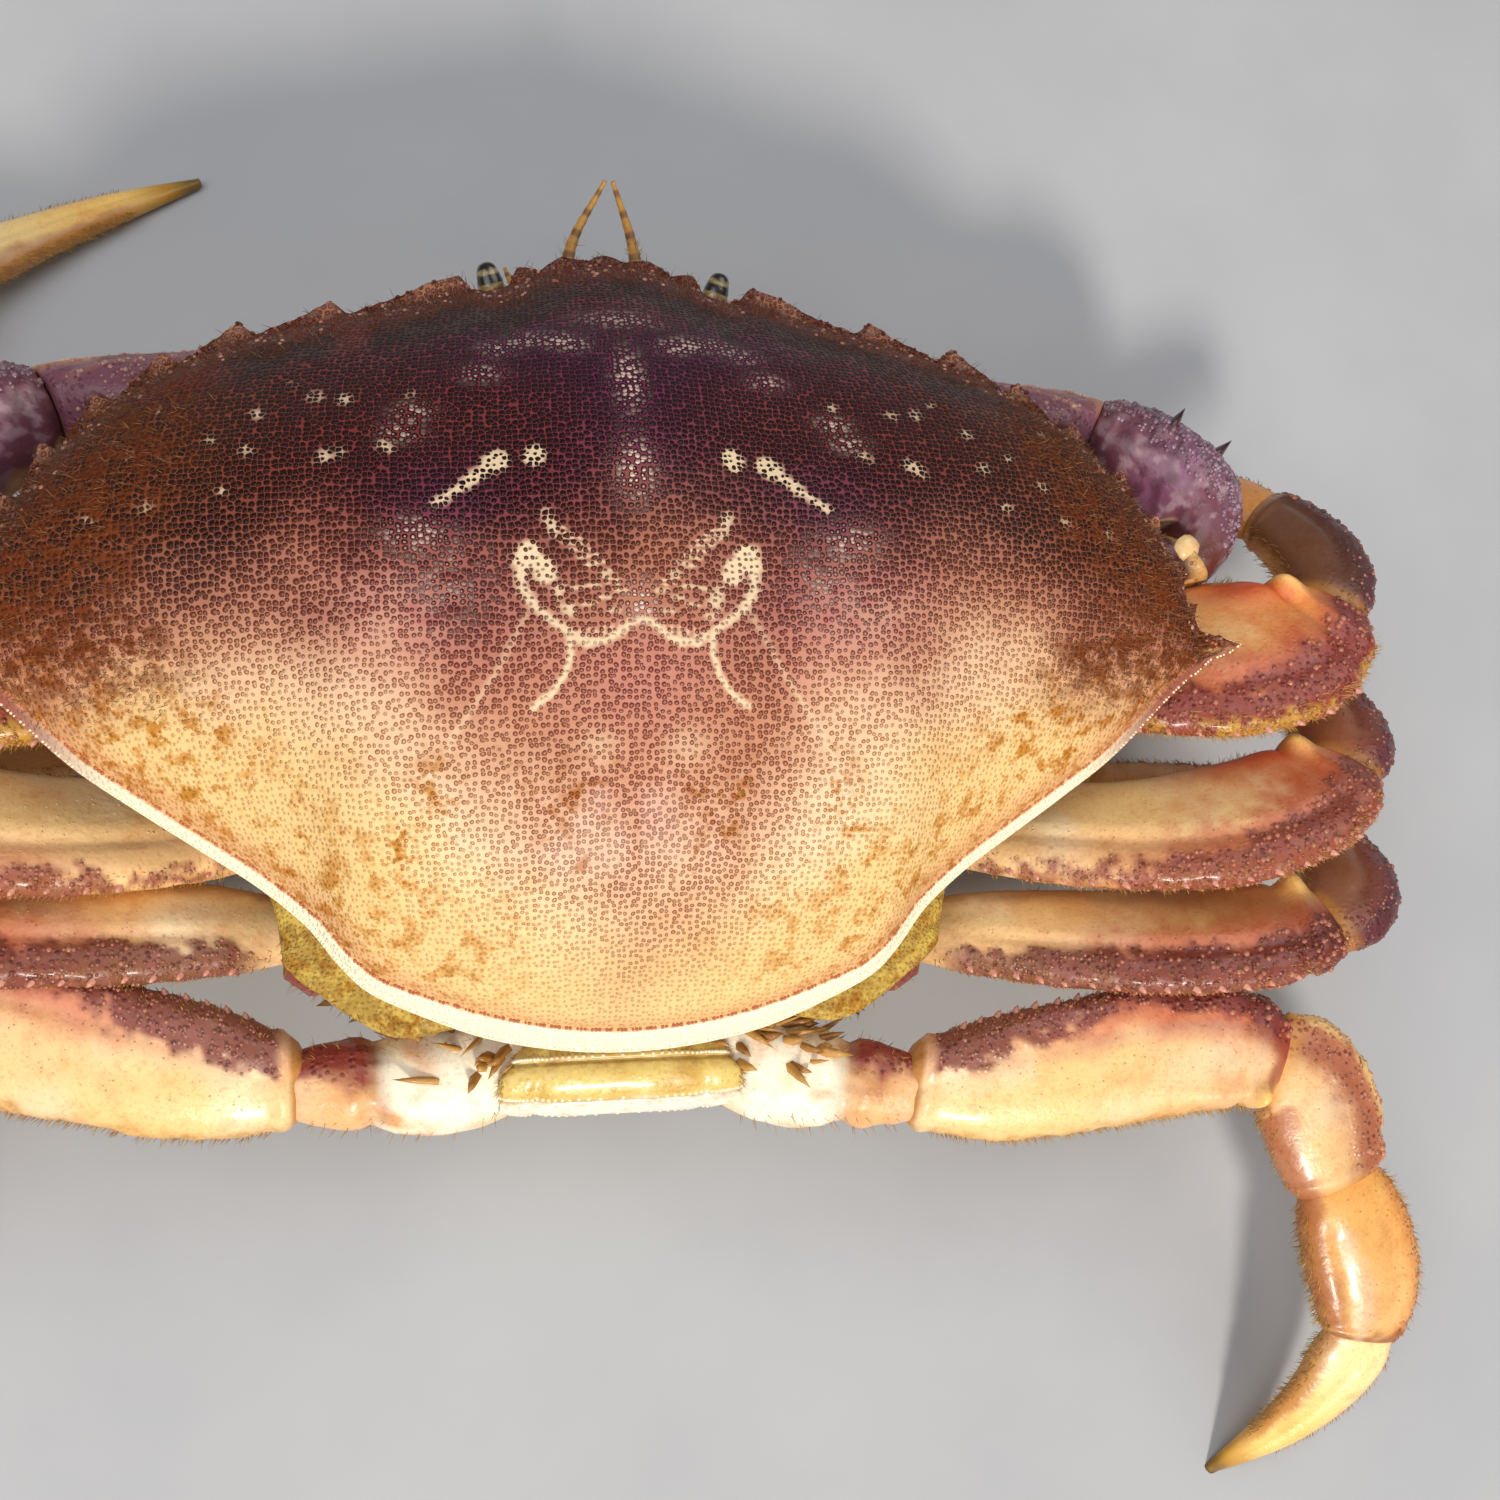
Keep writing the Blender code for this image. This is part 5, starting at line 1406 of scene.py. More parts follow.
# Hair along each piece: count, range round it as a sine, and length in millimetres
FRINGES = {"merus": [(620, (-1.0, -0.93), 1.5), (360, (0.9, 1.0), 0.8)],
           "carpus": [(120, (-1.0, -0.85), 1.2)],
           "propodus": [(300, (-1.0, -0.9), 1.7), (300, (0.9, 1.0), 1.5)],
           "dactyl": [(300, (-1.0, -0.9), 1.3), (300, (0.9, 1.0), 1.2)],
           "base": [(120, (-1.0, -0.6), 1.8), (90, (0.6, 1.0), 1.6)]}
GOLDEN_FRINGES = {2: (900, 1.25), 3: (500, 0.9)}

LEG_BEADS = {"merus": 520, "carpus": 200, "propodus": 160}
RIDGE_THORNS = 14
LEG_ROWS = {"base": 26, "merus": 110, "carpus": 46, "propodus": 64, "dactyl": 70}
LEG_SIDES = 72


def leg_pieces(number, side):
    """The Limb of each piece of one walking leg."""
    wall = f"leg{number}"
    normal, middle = wall_normal(wall), wall_middle(wall)
    root_way = Vector((normal[0], normal[1], 0))
    root = Vector((middle[0], middle[1], LEG_ROOT_Z[number])) + root_way * HALF_GAP
    reaching = number == 2 and side < 0
    joints = [root] + [Vector(p) for p in (REACHING_LEG if reaching else LEG_JOINTS[number])]
    if side < 0:
        joints = [root] + [swept(p, root, LEFT_SWEEP[number]) for p in joints[1:]]
    runs = [(b - a).normalized() for a, b in zip(joints, joints[1:])]
    ways = [root_way]
    for index, (before, after) in enumerate(zip(runs, runs[1:])):
        share = ELBOW_SHARE[number] if index == 1 else 0.5
        ways.append((before * (1 - share) + after * share).normalized())
    ways.append((runs[-1] * 1.5 - ways[-1] * 0.6).normalized())
    if side < 0:
        joints, ways, runs = ([mirror_x(v) for v in group] for group in (joints, ways, runs))
    bend = runs[2] - runs[1] * runs[2].dot(runs[1])
    thigh_up = carried(-bend.normalized(), runs[1], ways[1])
    up = carried(thigh_up, ways[1], ways[0])
    limbs = {}
    for index, kind in enumerate(LEG_PIECES):
        breadth = OUTER_BREADTH[number] if index > 1 else 1.0
        if kind == "merus":
            up = thigh_up
        limb = Limb(joints[index], joints[index + 1], ways[index], ways[index + 1], up,
                    LEG_FORMS[kind], LEG_DEPTH[number] * breadth, LEG_THICKNESS[number],
                    LEG_ROWS[kind], LEG_SIDES)
        up = limb.end_up
        if kind == "merus":
            rear_flare, front_flare = THIGH_FLARE[number]
            place, turn = limb.t[:, None], limb.s[None, :]
            limb.flare = np.where(turn > 0, rear_flare * np.sin(place * math.pi) ** 0.7,
                                  front_flare * ramp(place, 0.35, 0.7) * ramp(place, 1.0, 0.8))
        limbs[kind] = limb
    return limbs


def pick(generator, rings, normals, count, t_range, s_range, limb):
    """Random places on a limb piece: row, column, root and outward direction."""
    rows = len(limb.t)
    t = generator.uniform(*t_range, count)
    row = np.clip((t * (rows - 1)).astype(int), 0, rows - 1)
    allowed = np.where((limb.s >= s_range[0]) & (limb.s <= s_range[1]))[0]
    column = generator.choice(allowed, count)
    across = generator.uniform(0, 1, count)[:, None]
    nxt = (column + 1) % limb.sides
    root = rings[row, column] * (1 - across) + rings[row, nxt] * across
    return row, column, root, normals[row, column]


def build_leg(number, side, materials, coat, atlas):
    """One walking leg: five shell pieces with granules, knobs and hair."""
    label = "left" if side < 0 else "right"
    generator = np.random.default_rng(number * 10 + (1 if side > 0 else 2))
    limbs = leg_pieces(number, side)
    for index, kind in enumerate(LEG_PIECES):
        limb = limbs[kind]
        plain = limb.rings()
        lift = leg_lift(kind, number, limb.t, limb.s, limb.c, plain)
        rings = limb.rings(lift=lift)
        if kind == "dactyl":
            rings[..., 2] = np.maximum(rings[..., 2], 0.0)
        normals = ring_normals(rings)
        upper = ramp(normals[..., 2], -0.35, 0.45)
        tint, mask = leg_paint(kind, number, limb.t, limb.s, upper, rings)
        piece = Piece()
        membrane, lip = paint((196, 138, 74)), paint((232, 186, 120))
        # The three deepest rings of each socket's hollow take the joint skin's colour darkened to 0.7:
        # painted shade inside the hollow
        socket = [membrane if kind == "base" else lip] * 2 + [membrane * 0.7] * 3
        add_limb(piece, rings, (limb.way[0], limb.way[-1]), tint, mask, membrane,
                 None if kind == "dactyl" else socket, 0.4 if kind == "base" else 2.4, 3.2, 0.3)
        bead, thorn = dome_form(6), spine_form(5)
        if kind in LEG_BEADS:
            count = LEG_BEADS[kind]
            weight = np.clip(mask[..., 0] - 0.3, 0, 1)
            chosen = generator.choice(weight.size, count, p=(weight / weight.sum()).ravel())
            row, column = np.unravel_index(chosen, weight.shape)
            root, normal = rings[row, column], normals[row, column]
            high = generator.uniform(0, 1, count) ** 2
            size = 0.16 + 0.22 * generator.random(count) + 0.28 * high * ramp(limb.t[row], 0.2, 0.8)
            shade = blend(tint[row, column] * 0.75, paint((214, 142, 112)), 0.1 + 0.5 * high)
            scatter(piece, bead, root, normal, size, size * 0.8, shade, (0.4, 0, 0, 1))
            count = count // 3
            row, column, root, normal = pick(generator, rings, normals, count, (0.05, 0.98),
                                             (-0.25, 0.62), limb)
            size = generator.uniform(0.1, 0.2, count)
            scatter(piece, bead, root, normal, size, size * 0.6, tint[row, column] * 0.72,
                    (0, 0, 0, 1))
        if kind == "merus":
            column = int(np.argmax(limb.s))
            for k in range(RIDGE_THORNS):
                row = int((0.12 + 0.8 * k / RIDGE_THORNS) * (len(limb.t) - 1))
                size = 0.42 + 0.2 * generator.random()
                way = normals[row, column] + limb.way[row] * 0.6
                stand(piece, thorn, rings[row, column], way, size, size * 1.9, (214, 150, 130))
        if kind == "base":
            count = 26 if number < 4 else 70
            row, column, root, normal = pick(generator, rings, normals, count, (0.03, 0.62),
                                             (0.0, 1.0), limb)
            way = normal * 0.8 + limb.way[row] * 0.9 + generator.normal(0, 0.25, (count, 3))
            thick = generator.uniform(0.3, 0.95 if number > 3 else 0.6, count)
            tall = generator.uniform(1.2, 5.6 if number > 3 else 4.0, count)
            shade = layered((208, 160, 84), ((150, 98, 36), generator.random(count)))
            scatter(piece, thorn, root, way, thick, tall, shade, (0, 0, 1, 1))
        slot = "leg_tip_shell" if kind == "dactyl" else "leg_shell"
        node = f"leg{number}_{kind}_{label}"
        piece.build(f"shell_{node}", materials[slot], slot, [node])
        leg_hair(generator, kind, number, limb, rings, normals, coat, atlas, index)


def leg_hair(generator, kind, number, limb, rings, normals, coat, atlas, index):
    """Fringes of stiff hair along the edges of a leg piece."""
    for count, s_range, length in FRINGES[kind]:
        if kind == "merus" and number in GOLDEN_FRINGES and s_range[0] > 0:
            count, length = GOLDEN_FRINGES[number]
        last = 0.72 if kind == "dactyl" else 0.97
        row, column, root, normal = pick(generator, rings, normals, count, (0.04, last), s_range, limb)
        way = normal + limb.way[row] * generator.uniform(0.3, 1.0, count)[:, None] \
            + generator.normal(0, 0.22, (count, 3))
        lengths = length * generator.uniform(0.5, 1.15, count) * (LEG_DEPTH[number] / 19.0)
        shade = layered((150, 104, 44), ((222, 178, 88), generator.random(count)))
        chart = np.stack([(index + limb.t[row]) / 5.0, (column / limb.sides + atlas) / 4.0], -1)
        chart = chart * 0.96 + 0.02
        tip = root + unit(way) * lengths[:, None]
        keep = tip[:, 2] > 0.05
        coat.add(root[keep], way[keep], lengths[keep], 0.055, shade[keep], chart[keep])


# Claw arms

def spline(points, places):
    """Places on a smooth curve through the given points."""
    points = [Vector(p) for p in points]
    guide = [2 * points[0] - points[1]] + points + [2 * points[-1] - points[-2]]
    return catmull([tuple(p) for p in guide], places)


def tube_rings(points, sizes, up, rows, sides, power=2.2, end_ways=(None, None)):
    """Fine rings through a few control rings, with the frame of each row."""
    places = np.linspace(0, 1, rows)
    fine = spline(points, places)
    spots = np.linspace(0, 1, len(points))
    width = flow(places, spots, [s[0] for s in sizes])
    height = flow(places, spots, [s[1] for s in sizes])
    ways = unit(np.gradient(fine, axis=0))
    for index, way in zip((0, -1), end_ways):
        if way is not None:
            gap = np.abs(places - (0 if index == 0 else 1)) * len(points)
            near = np.clip(1 - gap, 0, 1)[:, None]
            ways = unit(ways * (1 - near) + np.array(way) * near)
    up = np.array(up, float)
    ups = unit(up - ways * (ways @ up)[:, None])
    across = np.cross(ways, ups)
    c, s = circle(sides)
    u, v = squared(c, power), squared(s, power)
    rings = fine[:, None] + across[:, None] * (u[None, :, None] * width[:, None, None]) \
        + ups[:, None] * (v[None, :, None] * height[:, None, None])
    return rings, places, c, s, ways


def curve_points(controls, count):
    """Points on a smooth curve through three or more given points."""
    return [Vector(p) for p in spline(controls, np.linspace(0, 1, count))]


def on_path(path, share):
    """The point at a share of the way along a path."""
    line = np.array([tuple(p) for p in path])
    return catmull(np.vstack([line[:1], line, line[-1:]]), [share])[0]


def sized(controls, count):
    """Half sizes read evenly along a short list of pairs."""
    place = np.linspace(0, 1, count)
    spots = np.linspace(0, 1, len(controls))
    return list(zip(*(np.interp(place, spots, [c[k] for c in controls]) for k in range(2))))


def merged(parts, voxel, name):
    """One smooth closed surface over overlapping ring tubes, as points and quads."""
    piece = Piece()
    for rings in parts:
        piece.add_tube(rings, (0, 0, 0))
    mesh = bpy.data.meshes.new(name)
    points = np.vstack(piece.points)
    faces = [tuple(int(i) for i in f) for group in piece.faces for f in group]
    mesh.from_pydata([tuple(p) for p in points], [], faces)
    thing = bpy.data.objects.new(name, mesh)
    bpy.context.scene.collection.objects.link(thing)
    remesh = thing.modifiers.new("voxels", "REMESH")
    remesh.mode = "VOXEL"
    remesh.voxel_size = voxel
    smooth = thing.modifiers.new("smooth", "SMOOTH")
    smooth.iterations = 6
    smooth.factor = 0.5
    reader = bpy.context.evaluated_depsgraph_get()
    made = bpy.data.meshes.new_from_object(thing.evaluated_get(reader))
    n = len(made.vertices)
    co = np.empty(n * 3)
    made.vertices.foreach_get("co", co)
    normal = np.empty(n * 3)
    made.vertices.foreach_get("normal", normal)
    corners = np.empty(len(made.loops), np.int32)
    made.loops.foreach_get("vertex_index", corners)
    quads = corners.reshape(-1, 4)
    bpy.data.objects.remove(thing)
    bpy.data.meshes.remove(made)
    bpy.data.meshes.remove(mesh)
    return co.reshape(-1, 3), normal.reshape(-1, 3), quads


def along_line(points, line):
    """For each point: its share along a line of points and the offset from it."""
    line = np.array([tuple(p) for p in line])
    best = np.full(len(points), 1e9)
    share = np.zeros(len(points))
    offset = np.zeros((len(points), 3))
    for k, (a, b) in enumerate(zip(line, line[1:])):
        t = np.clip(((points - a) @ (b - a)) / ((b - a) @ (b - a)), 0, 1)
        gap = points - a - t[:, None] * (b - a)
        distance = np.linalg.norm(gap, axis=1)
        nearer = distance < best
        best[nearer] = distance[nearer]
        share[nearer] = (k + t[nearer]) / (len(line) - 1)
        offset[nearer] = gap[nearer]
    return share, offset, best


ARM_UP = (0, -0.25, 1)
ELBOW_WAY = (0.76, 0.64, 0.12)
WRIST_WAY = (-0.86, 0.46, -0.22)
ARM_SIZES = [(6.0, 6.0), (6.3, 6.6), (6.5, 7.6), (6.7, 8.2), (6.4, 8.2), (5.6, 7.8), (4.8, 6.4)]
WRIST_FORM = [(0, 0.62, 0.60), (0.15, 0.80, 0.68), (0.45, 1.0, 0.96), (0.8, 0.88, 0.9),
              (1, 0.64, 0.70)]
WRIST_DEPTH, WRIST_THICKNESS = 18.0, 16.5
WRIST_THORNS = (((84, 34, 39), (87.4, 38.6, 41.5)), ((90, 30, 39), (94.4, 33.6, 41.5)))
PALM_SIZES = [(5.6, 7.0), (7.2, 11.4), (7.6, 13.0), (7.4, 13.2), (6.0, 12.4)]
FIXED_FINGER_SIZES = [(5.2, 5.4), (4.2, 4.4), (3.2, 3.4), (2.2, 2.2), (0.8, 0.9)]
MOVING_FINGER_SIZES = [(4.6, 4.8), (4.4, 4.6), (3.3, 3.5), (2.2, 2.3), (0.8, 0.9)]
PALM_THORNS = (0.22, 0.4, 0.58, 0.76, 0.92)
BITING_TEETH = (0.3, 0.42, 0.54, 0.66, 0.78, 0.88)
ELBOW_SKIN = (206, 160, 98)
ARM_BEADS, WRIST_BEADS, PALM_BEADS = 260, 520, 1100
VOXEL = 0.5


def build_claw_arm(side, materials):
    """Thigh, wrist piece, palm with its fixed finger, and moving finger."""
    label = "left" if side < 0 else "right"
    generator = np.random.default_rng(70 + side)

    def place(point):
        moved = Vector(point)
        return mirror_x(moved) if side < 0 else moved

    elbow_way, wrist_way = place(ELBOW_WAY).normalized(), place(WRIST_WAY).normalized()
    arm = claw_thigh(place, elbow_way, generator)
    wrist = claw_wrist(place, elbow_way, wrist_way, generator)
    for kind, piece in (("merus", arm), ("carpus", wrist)):
        node = f"cheliped_{kind}_{label}"
        piece.build(f"shell_{node}", materials["claw_arm_shell"], "claw_arm_shell", [node])

    tilt = Vector(PALM_TILT)
    palm_start = place(WRIST) + wrist_way * HALF_GAP
    palm_path = curve_points([palm_start, place(PALM_MIDDLE), place(PALM_END)], 5)
    palm_way = (palm_path[-1] - palm_path[-2]).normalized()
    palm = tube_rings(palm_path, sized(PALM_SIZES, 5), tilt, 60, 64, end_ways=(wrist_way, palm_way))[0]
    fixed_path = curve_points([place(p) for p in FIXED_FINGER], 5)
    fixed = tube_rings(fixed_path, sized(FIXED_FINGER_SIZES, 5), tilt, 60, 40)[0]
    knuckle_up = (tilt - palm_way * tilt.dot(palm_way)).normalized()
    knuckle = palm_path[-1] + knuckle_up * MOVING_FINGER_LIFT + palm_way * 0.3
    moving_path = curve_points([knuckle] + [place(p) for p in MOVING_FINGER], 5)
    moving = tube_rings(moving_path, sized(MOVING_FINGER_SIZES, 5), tilt, 70, 44,
                        end_ways=(palm_way, None))[0]
    for kind, parts, path, finger, biting in (
            ("propodus", [palm, fixed], palm_path, fixed_path, 1.0),
            ("dactyl", [moving], None, moving_path, -1.0)):
        build_claw(f"cheliped_{kind}_{label}", parts, path, finger, biting, side,
                   materials["claw_shell"], generator)


def claw_thigh(place, elbow_way, generator):
    """The claw arm's first piece, from the body to the elbow."""
    normal, middle = wall_normal("cheliped"), wall_middle("cheliped")
    root_way = place((normal[0], normal[1], 0))
    root = place((middle[0], middle[1], CLAW_ROOT_Z)) + root_way * 0.3
    path = [root, root + root_way * 7] + curve_points([place(ARM_MIDDLE), place(ELBOW)], 5)
    path[-1] = place(ELBOW) - elbow_way * HALF_GAP
    rings, t, _, s, _ = tube_rings(path, ARM_SIZES, Vector(ARM_UP), 90, 72,
                                   end_ways=(root_way, elbow_way))
    tt, ss = np.broadcast_arrays(t[:, None], s[None, :])
    normals = ring_normals(rings)
    rings = rings + normals * (0.15 * noise(rings, 5.0, 40) + 0.35 * bell(tt, 0.93, 0.02)
                               + 0.15 * noise(rings, 1.6, 41) * ramp(ss, 0.3, 0.9))[..., None]
    tint = layered(
        CREAM,
        ((214, 140, 90), ramp(tt, 0.3, 0.7) * 0.7),
        ((58, 22, 20), ramp(tt + 0.1 * noise(rings, 4, 42), 0.6, 0.82) * ramp(ss, -0.6, 0.2)),
        (PLUM, 0.7 * ramp(ss + 0.15 * noise(rings, 3, 43), 0.4, 0.85)),
        ((222, 178, 110), 0.8 * ramp(tt, 0.955, 0.985)))
    mask = masked(ramp(ss, 0.1, 0.8), 0.3 * ramp(ss, -0.5, -0.9))
    piece, skin = Piece(), paint(ELBOW_SKIN)
    add_limb(piece, rings, (np.array(root_way), np.array(elbow_way)), tint, mask, skin, skin, 0.3, 3.4)
    rows = generator.integers(20, 84, ARM_BEADS)
    columns = generator.choice(np.where(s > 0.35)[0], ARM_BEADS)
    add_granules(piece, generator, rings[rows, columns], normals[rows, columns], (0.18, 0.4),
                 tint[rows, columns] * 0.8, (220, 170, 170), 0.6, 0.3)
    return piece


def claw_wrist(place, elbow_way, wrist_way, generator):
    """The claw arm's second piece, with its two thorns and the cream knob of the elbow."""
    up = Vector(ARM_UP)
    elbow_up = (up - elbow_way * up.dot(elbow_way)).normalized()
    limb = Limb(place(ELBOW), place(WRIST), elbow_way, wrist_way, elbow_up, WRIST_FORM,
                WRIST_DEPTH, WRIST_THICKNESS, 64, 84)
    plain = limb.rings()
    tt = np.broadcast_to(limb.t[:, None], plain.shape[:2])
    lump = noise(plain, 1.5, 44)
    outer = ramp((ring_normals(plain) * np.array(place((0.8, 0.5, 0.3)))).sum(-1), -0.1, 0.5)
    lift = 0.12 * noise(plain, 5.0, 45) + 0.3 * lump * outer + 0.5 * bell(tt, 0.94, 0.025)
    rings = limb.rings(lift=lift)
    normals = ring_normals(rings)
    above = ramp(normals[..., 2], -0.3, 0.5)
    tint = layered(
        CREAM,
        ((112, 64, 76), ramp(above + 0.2 * noise(rings, 3, 46), 0.25, 0.8)),
        ((146, 98, 132), 0.5 * above * spot(tt * 10, 0 * tt, 5.5, 0, 2.2, 1)),
        ((182, 154, 166), 0.5 * ramp(noise(plain, 1.1, 47), 0.1, 0.5) * above),
        ((86, 44, 62), 0.75 * ramp(noise(plain, 1.9, 48), 0.05, 0.6) * above),
        ((104, 84, 98), 0.6 * ramp(lump, 0.0, 0.6) * above * outer),
        ((92, 44, 34), 0.85 * ramp(tt, 0.16, 0.05) + 0.3 * ramp(tt, 0.95, 1.0)))
    piece = Piece()
    add_limb(piece, rings, (limb.way[0], limb.way[-1]), tint, masked(outer * above),
             paint((226, 190, 128)), paint(ELBOW_SKIN), 3.0, 3.0)
    weight = (outer * above * ramp(tt, 0.05, 0.15)).ravel()
    spots = generator.choice(weight.size, WRIST_BEADS, p=weight / weight.sum())
    rows, columns = np.unravel_index(spots, tt.shape)
    add_granules(piece, generator, rings[rows, columns], normals[rows, columns], (0.2, 0.5),
                 tint[rows, columns], (190, 160, 184), 0.5, 0.2)
    stand(piece, dome_form(14), place((86.2, 16.6, 39.6)), place((0.3, -0.5, 1)), 2.4, 1.0,
          (236, 200, 142))
    for low, high in WRIST_THORNS:
        low, high = np.array(place(low)), np.array(place(high))
        stand(piece, spine_form(6), low, high - low, 1.5, np.linalg.norm(high - low), (70, 44, 52))
    return piece


def build_claw(node, parts, palm_path, finger_path, biting, side, material, generator):
    """Palm or finger with ridges, rows of granules and rounded biting teeth.

    palm_path is None for the moving finger; biting is 1 where the teeth point up, else -1.
    """
    name = "shell_" + node
    points, normals, quads = merged(parts, VOXEL, name + "_draft")
    tilt = unit(np.array(PALM_TILT, float))
    finger_share, finger_gap, finger_near = along_line(points, finger_path)
    palm_gap, on_finger = finger_gap, np.ones(len(points))
    if palm_path is not None:
        palm_share, palm_gap, _ = along_line(points, palm_path)
        on_finger = ramp(finger_share, 0.06, 0.3)
    height = (palm_gap @ tilt) / 12.0
    outer = normals @ unit(np.array([side * 0.2, 0.8, 0.1]))
    rows = np.cos(height * math.pi * 6.5) * (1 - on_finger) * ramp(outer, 0.0, 0.4)
    lift = 0.16 * ramp(rows, 0.3, 1.0) + 0.15 * noise(points, 4.0, 50) + 0.1 * noise(points, 1.4, 53)
    groove = bell((finger_gap @ tilt) / np.maximum(finger_near, 1e-6), 0.0, 0.22)
    lift -= 0.45 * groove * on_finger * ramp(finger_share, 0.98, 0.8)
    points = points + normals * lift[:, None]
    above = ramp(normals[:, 2], -0.3, 0.6)
    purple = ramp(height + 0.15 * noise(points, 3, 52), 0.1, 0.5)
    palm_tint = layered(
        CREAM,
        ((196, 132, 96), 0.8 * ramp(height + 0.2 * noise(points, 4, 51), -0.1, 0.45)),
        ((116, 62, 92), 0.9 * purple * (1 - on_finger * 0.5)),
        ((214, 150, 110), 0.22 * ramp(rows, 0.3, 1.0)))
    finger_tint = layered(
        (226, 170, 128),
        (IVORY, ramp(finger_share, 0.3, 0.75)),
        ((150, 84, 84), 0.6 * above * ramp(finger_share, 0.7, 0.2)))
    tint = blend(palm_tint, finger_tint, on_finger)
    piece = Piece()
    piece.add(points, [quads], tint, masked(0.7 * above * (1 - on_finger)))
    if palm_path is not None:
        weight = np.clip(ramp(rows, 0.6, 1.0) + 0.8 * ramp(height, 0.6, 0.95), 0, 1)
        weight = weight * ramp(palm_share, 0.02, 0.1)
        spots = generator.choice(len(points), PALM_BEADS, p=weight / weight.sum())
        add_granules(piece, generator, points[spots], normals[spots], (0.16, 0.42), tint[spots],
                     (232, 190, 170), 0.6, 0.1)
        for share in PALM_THORNS:
            stand(piece, spine_form(6), on_path(palm_path, share) + tilt * 11.4, tilt, 1.4, 3.6,
                  (120, 70, 76))
    way = np.array([0, 0, biting])
    for share in BITING_TEETH:
        root = on_path(finger_path, share) + way * (4.4 * (1 - share) + 0.5)
        stand(piece, dome_form(8), root, way, 1.25 - 0.5 * share, 1.1, IVORY)
    piece.build(name, material, "claw_shell", [node])


# Head

# Each feeler: start and aim of the ray that finds the skin, bend, tip and sizes, for the
# right side
FEELERS = {
    "antennule": ((4.6, 60.5, 40.5), (5.0, 44.0, 39.5), (4.6, 59.5, 41.5), (0.6, 71.0, 41.0),
                  [(1.25, 1.25), (0.75, 0.75), (0.28, 0.28)]),
    "antenna": ((10.5, 58.0, 38.5), (9.5, 44.0, 38.0), None, (13.5, 59.5, 35.5),
                [(1.2, 1.2), (0.7, 0.7), (0.26, 0.26)]),
}
ANTENNULE_TIPS_X = 1.4  # how far to the right both antennules' tips bend
FEELER_HAIRS, MOUTH_HAIRS = 90, 700


def build_head(rings, materials, coat):
    """Eyes, both pairs of feelers and the mouth plates."""
    quads = grid_faces(*rings.shape[:2])[0]
    tree = BVHTree.FromPolygons([Vector(v) for v in rings.reshape(-1, 3)],
                                [tuple(int(i) for i in q) for q in quads])
    generator = np.random.default_rng(9)

    def root_of(start, aim):
        """The skin's place on the way from start to aim, and a little further in."""
        way = (start - aim).normalized()
        hit = tree.ray_cast(start, -way)[0]
        return (hit if hit is not None else aim) - way * 0.8

    for side, label in ((1, "right"), (-1, "left")):
        build_eye(side, label, root_of, materials["eye"])
        for kind in FEELERS:
            build_feeler(kind, side, label, root_of, materials["feeler"], coat, generator)
        build_mouth_plate(side, label, materials["underside_shell"], coat, generator)


def build_eye(side, label, root_of, material):
    """One eye: a stalk that swells to a dark, banded cornea."""
    tip = Vector((side * 16.4, 54.6, 43.6))
    root = root_of(tip, Vector((side * 12.5, 42.0, 38.0)))
    path = [root, root.lerp(tip, 0.3), root.lerp(tip, 0.55), root.lerp(tip, 0.8), tip]
    sizes = [(width, width) for width in (1.25, 1.35, 1.5, 1.85, 1.5)]
    tube, _, _, s, ways = tube_rings(path, sizes, Vector((0, 0, 1)), 34, 32)
    end = tube[-1].mean(0)
    cap = [end + (tube[-1] - end) * scale + ways[-1] * ahead
           for scale, ahead in ((0.93, 0.35), (0.78, 0.75), (0.55, 1.05), (0.25, 1.22))]
    tube = np.vstack([tube, np.array(cap)])
    tt = np.broadcast_to(np.linspace(0, 1, len(tube))[:, None], tube.shape[:2])
    ss = np.broadcast_to(s[None], tube.shape[:2])
    cornea = ramp(tt - 0.14 * ss, 0.5, 0.56)
    tint = layered(
        (150, 110, 70),
        ((226, 196, 140), ramp(noise(tube, 1.2, 60), -0.2, 0.5)),
        ((30, 22, 12), cornea),
        ((196, 176, 118), cornea * 0.8 * ramp(np.sin(tt * 30 + ss), 0.35, 0.8)))
    piece = Piece()
    piece.add_tube(tube, tint)
    piece.build(f"eye_cornea_{label}", material, "eye", [f"eye_{label}"])


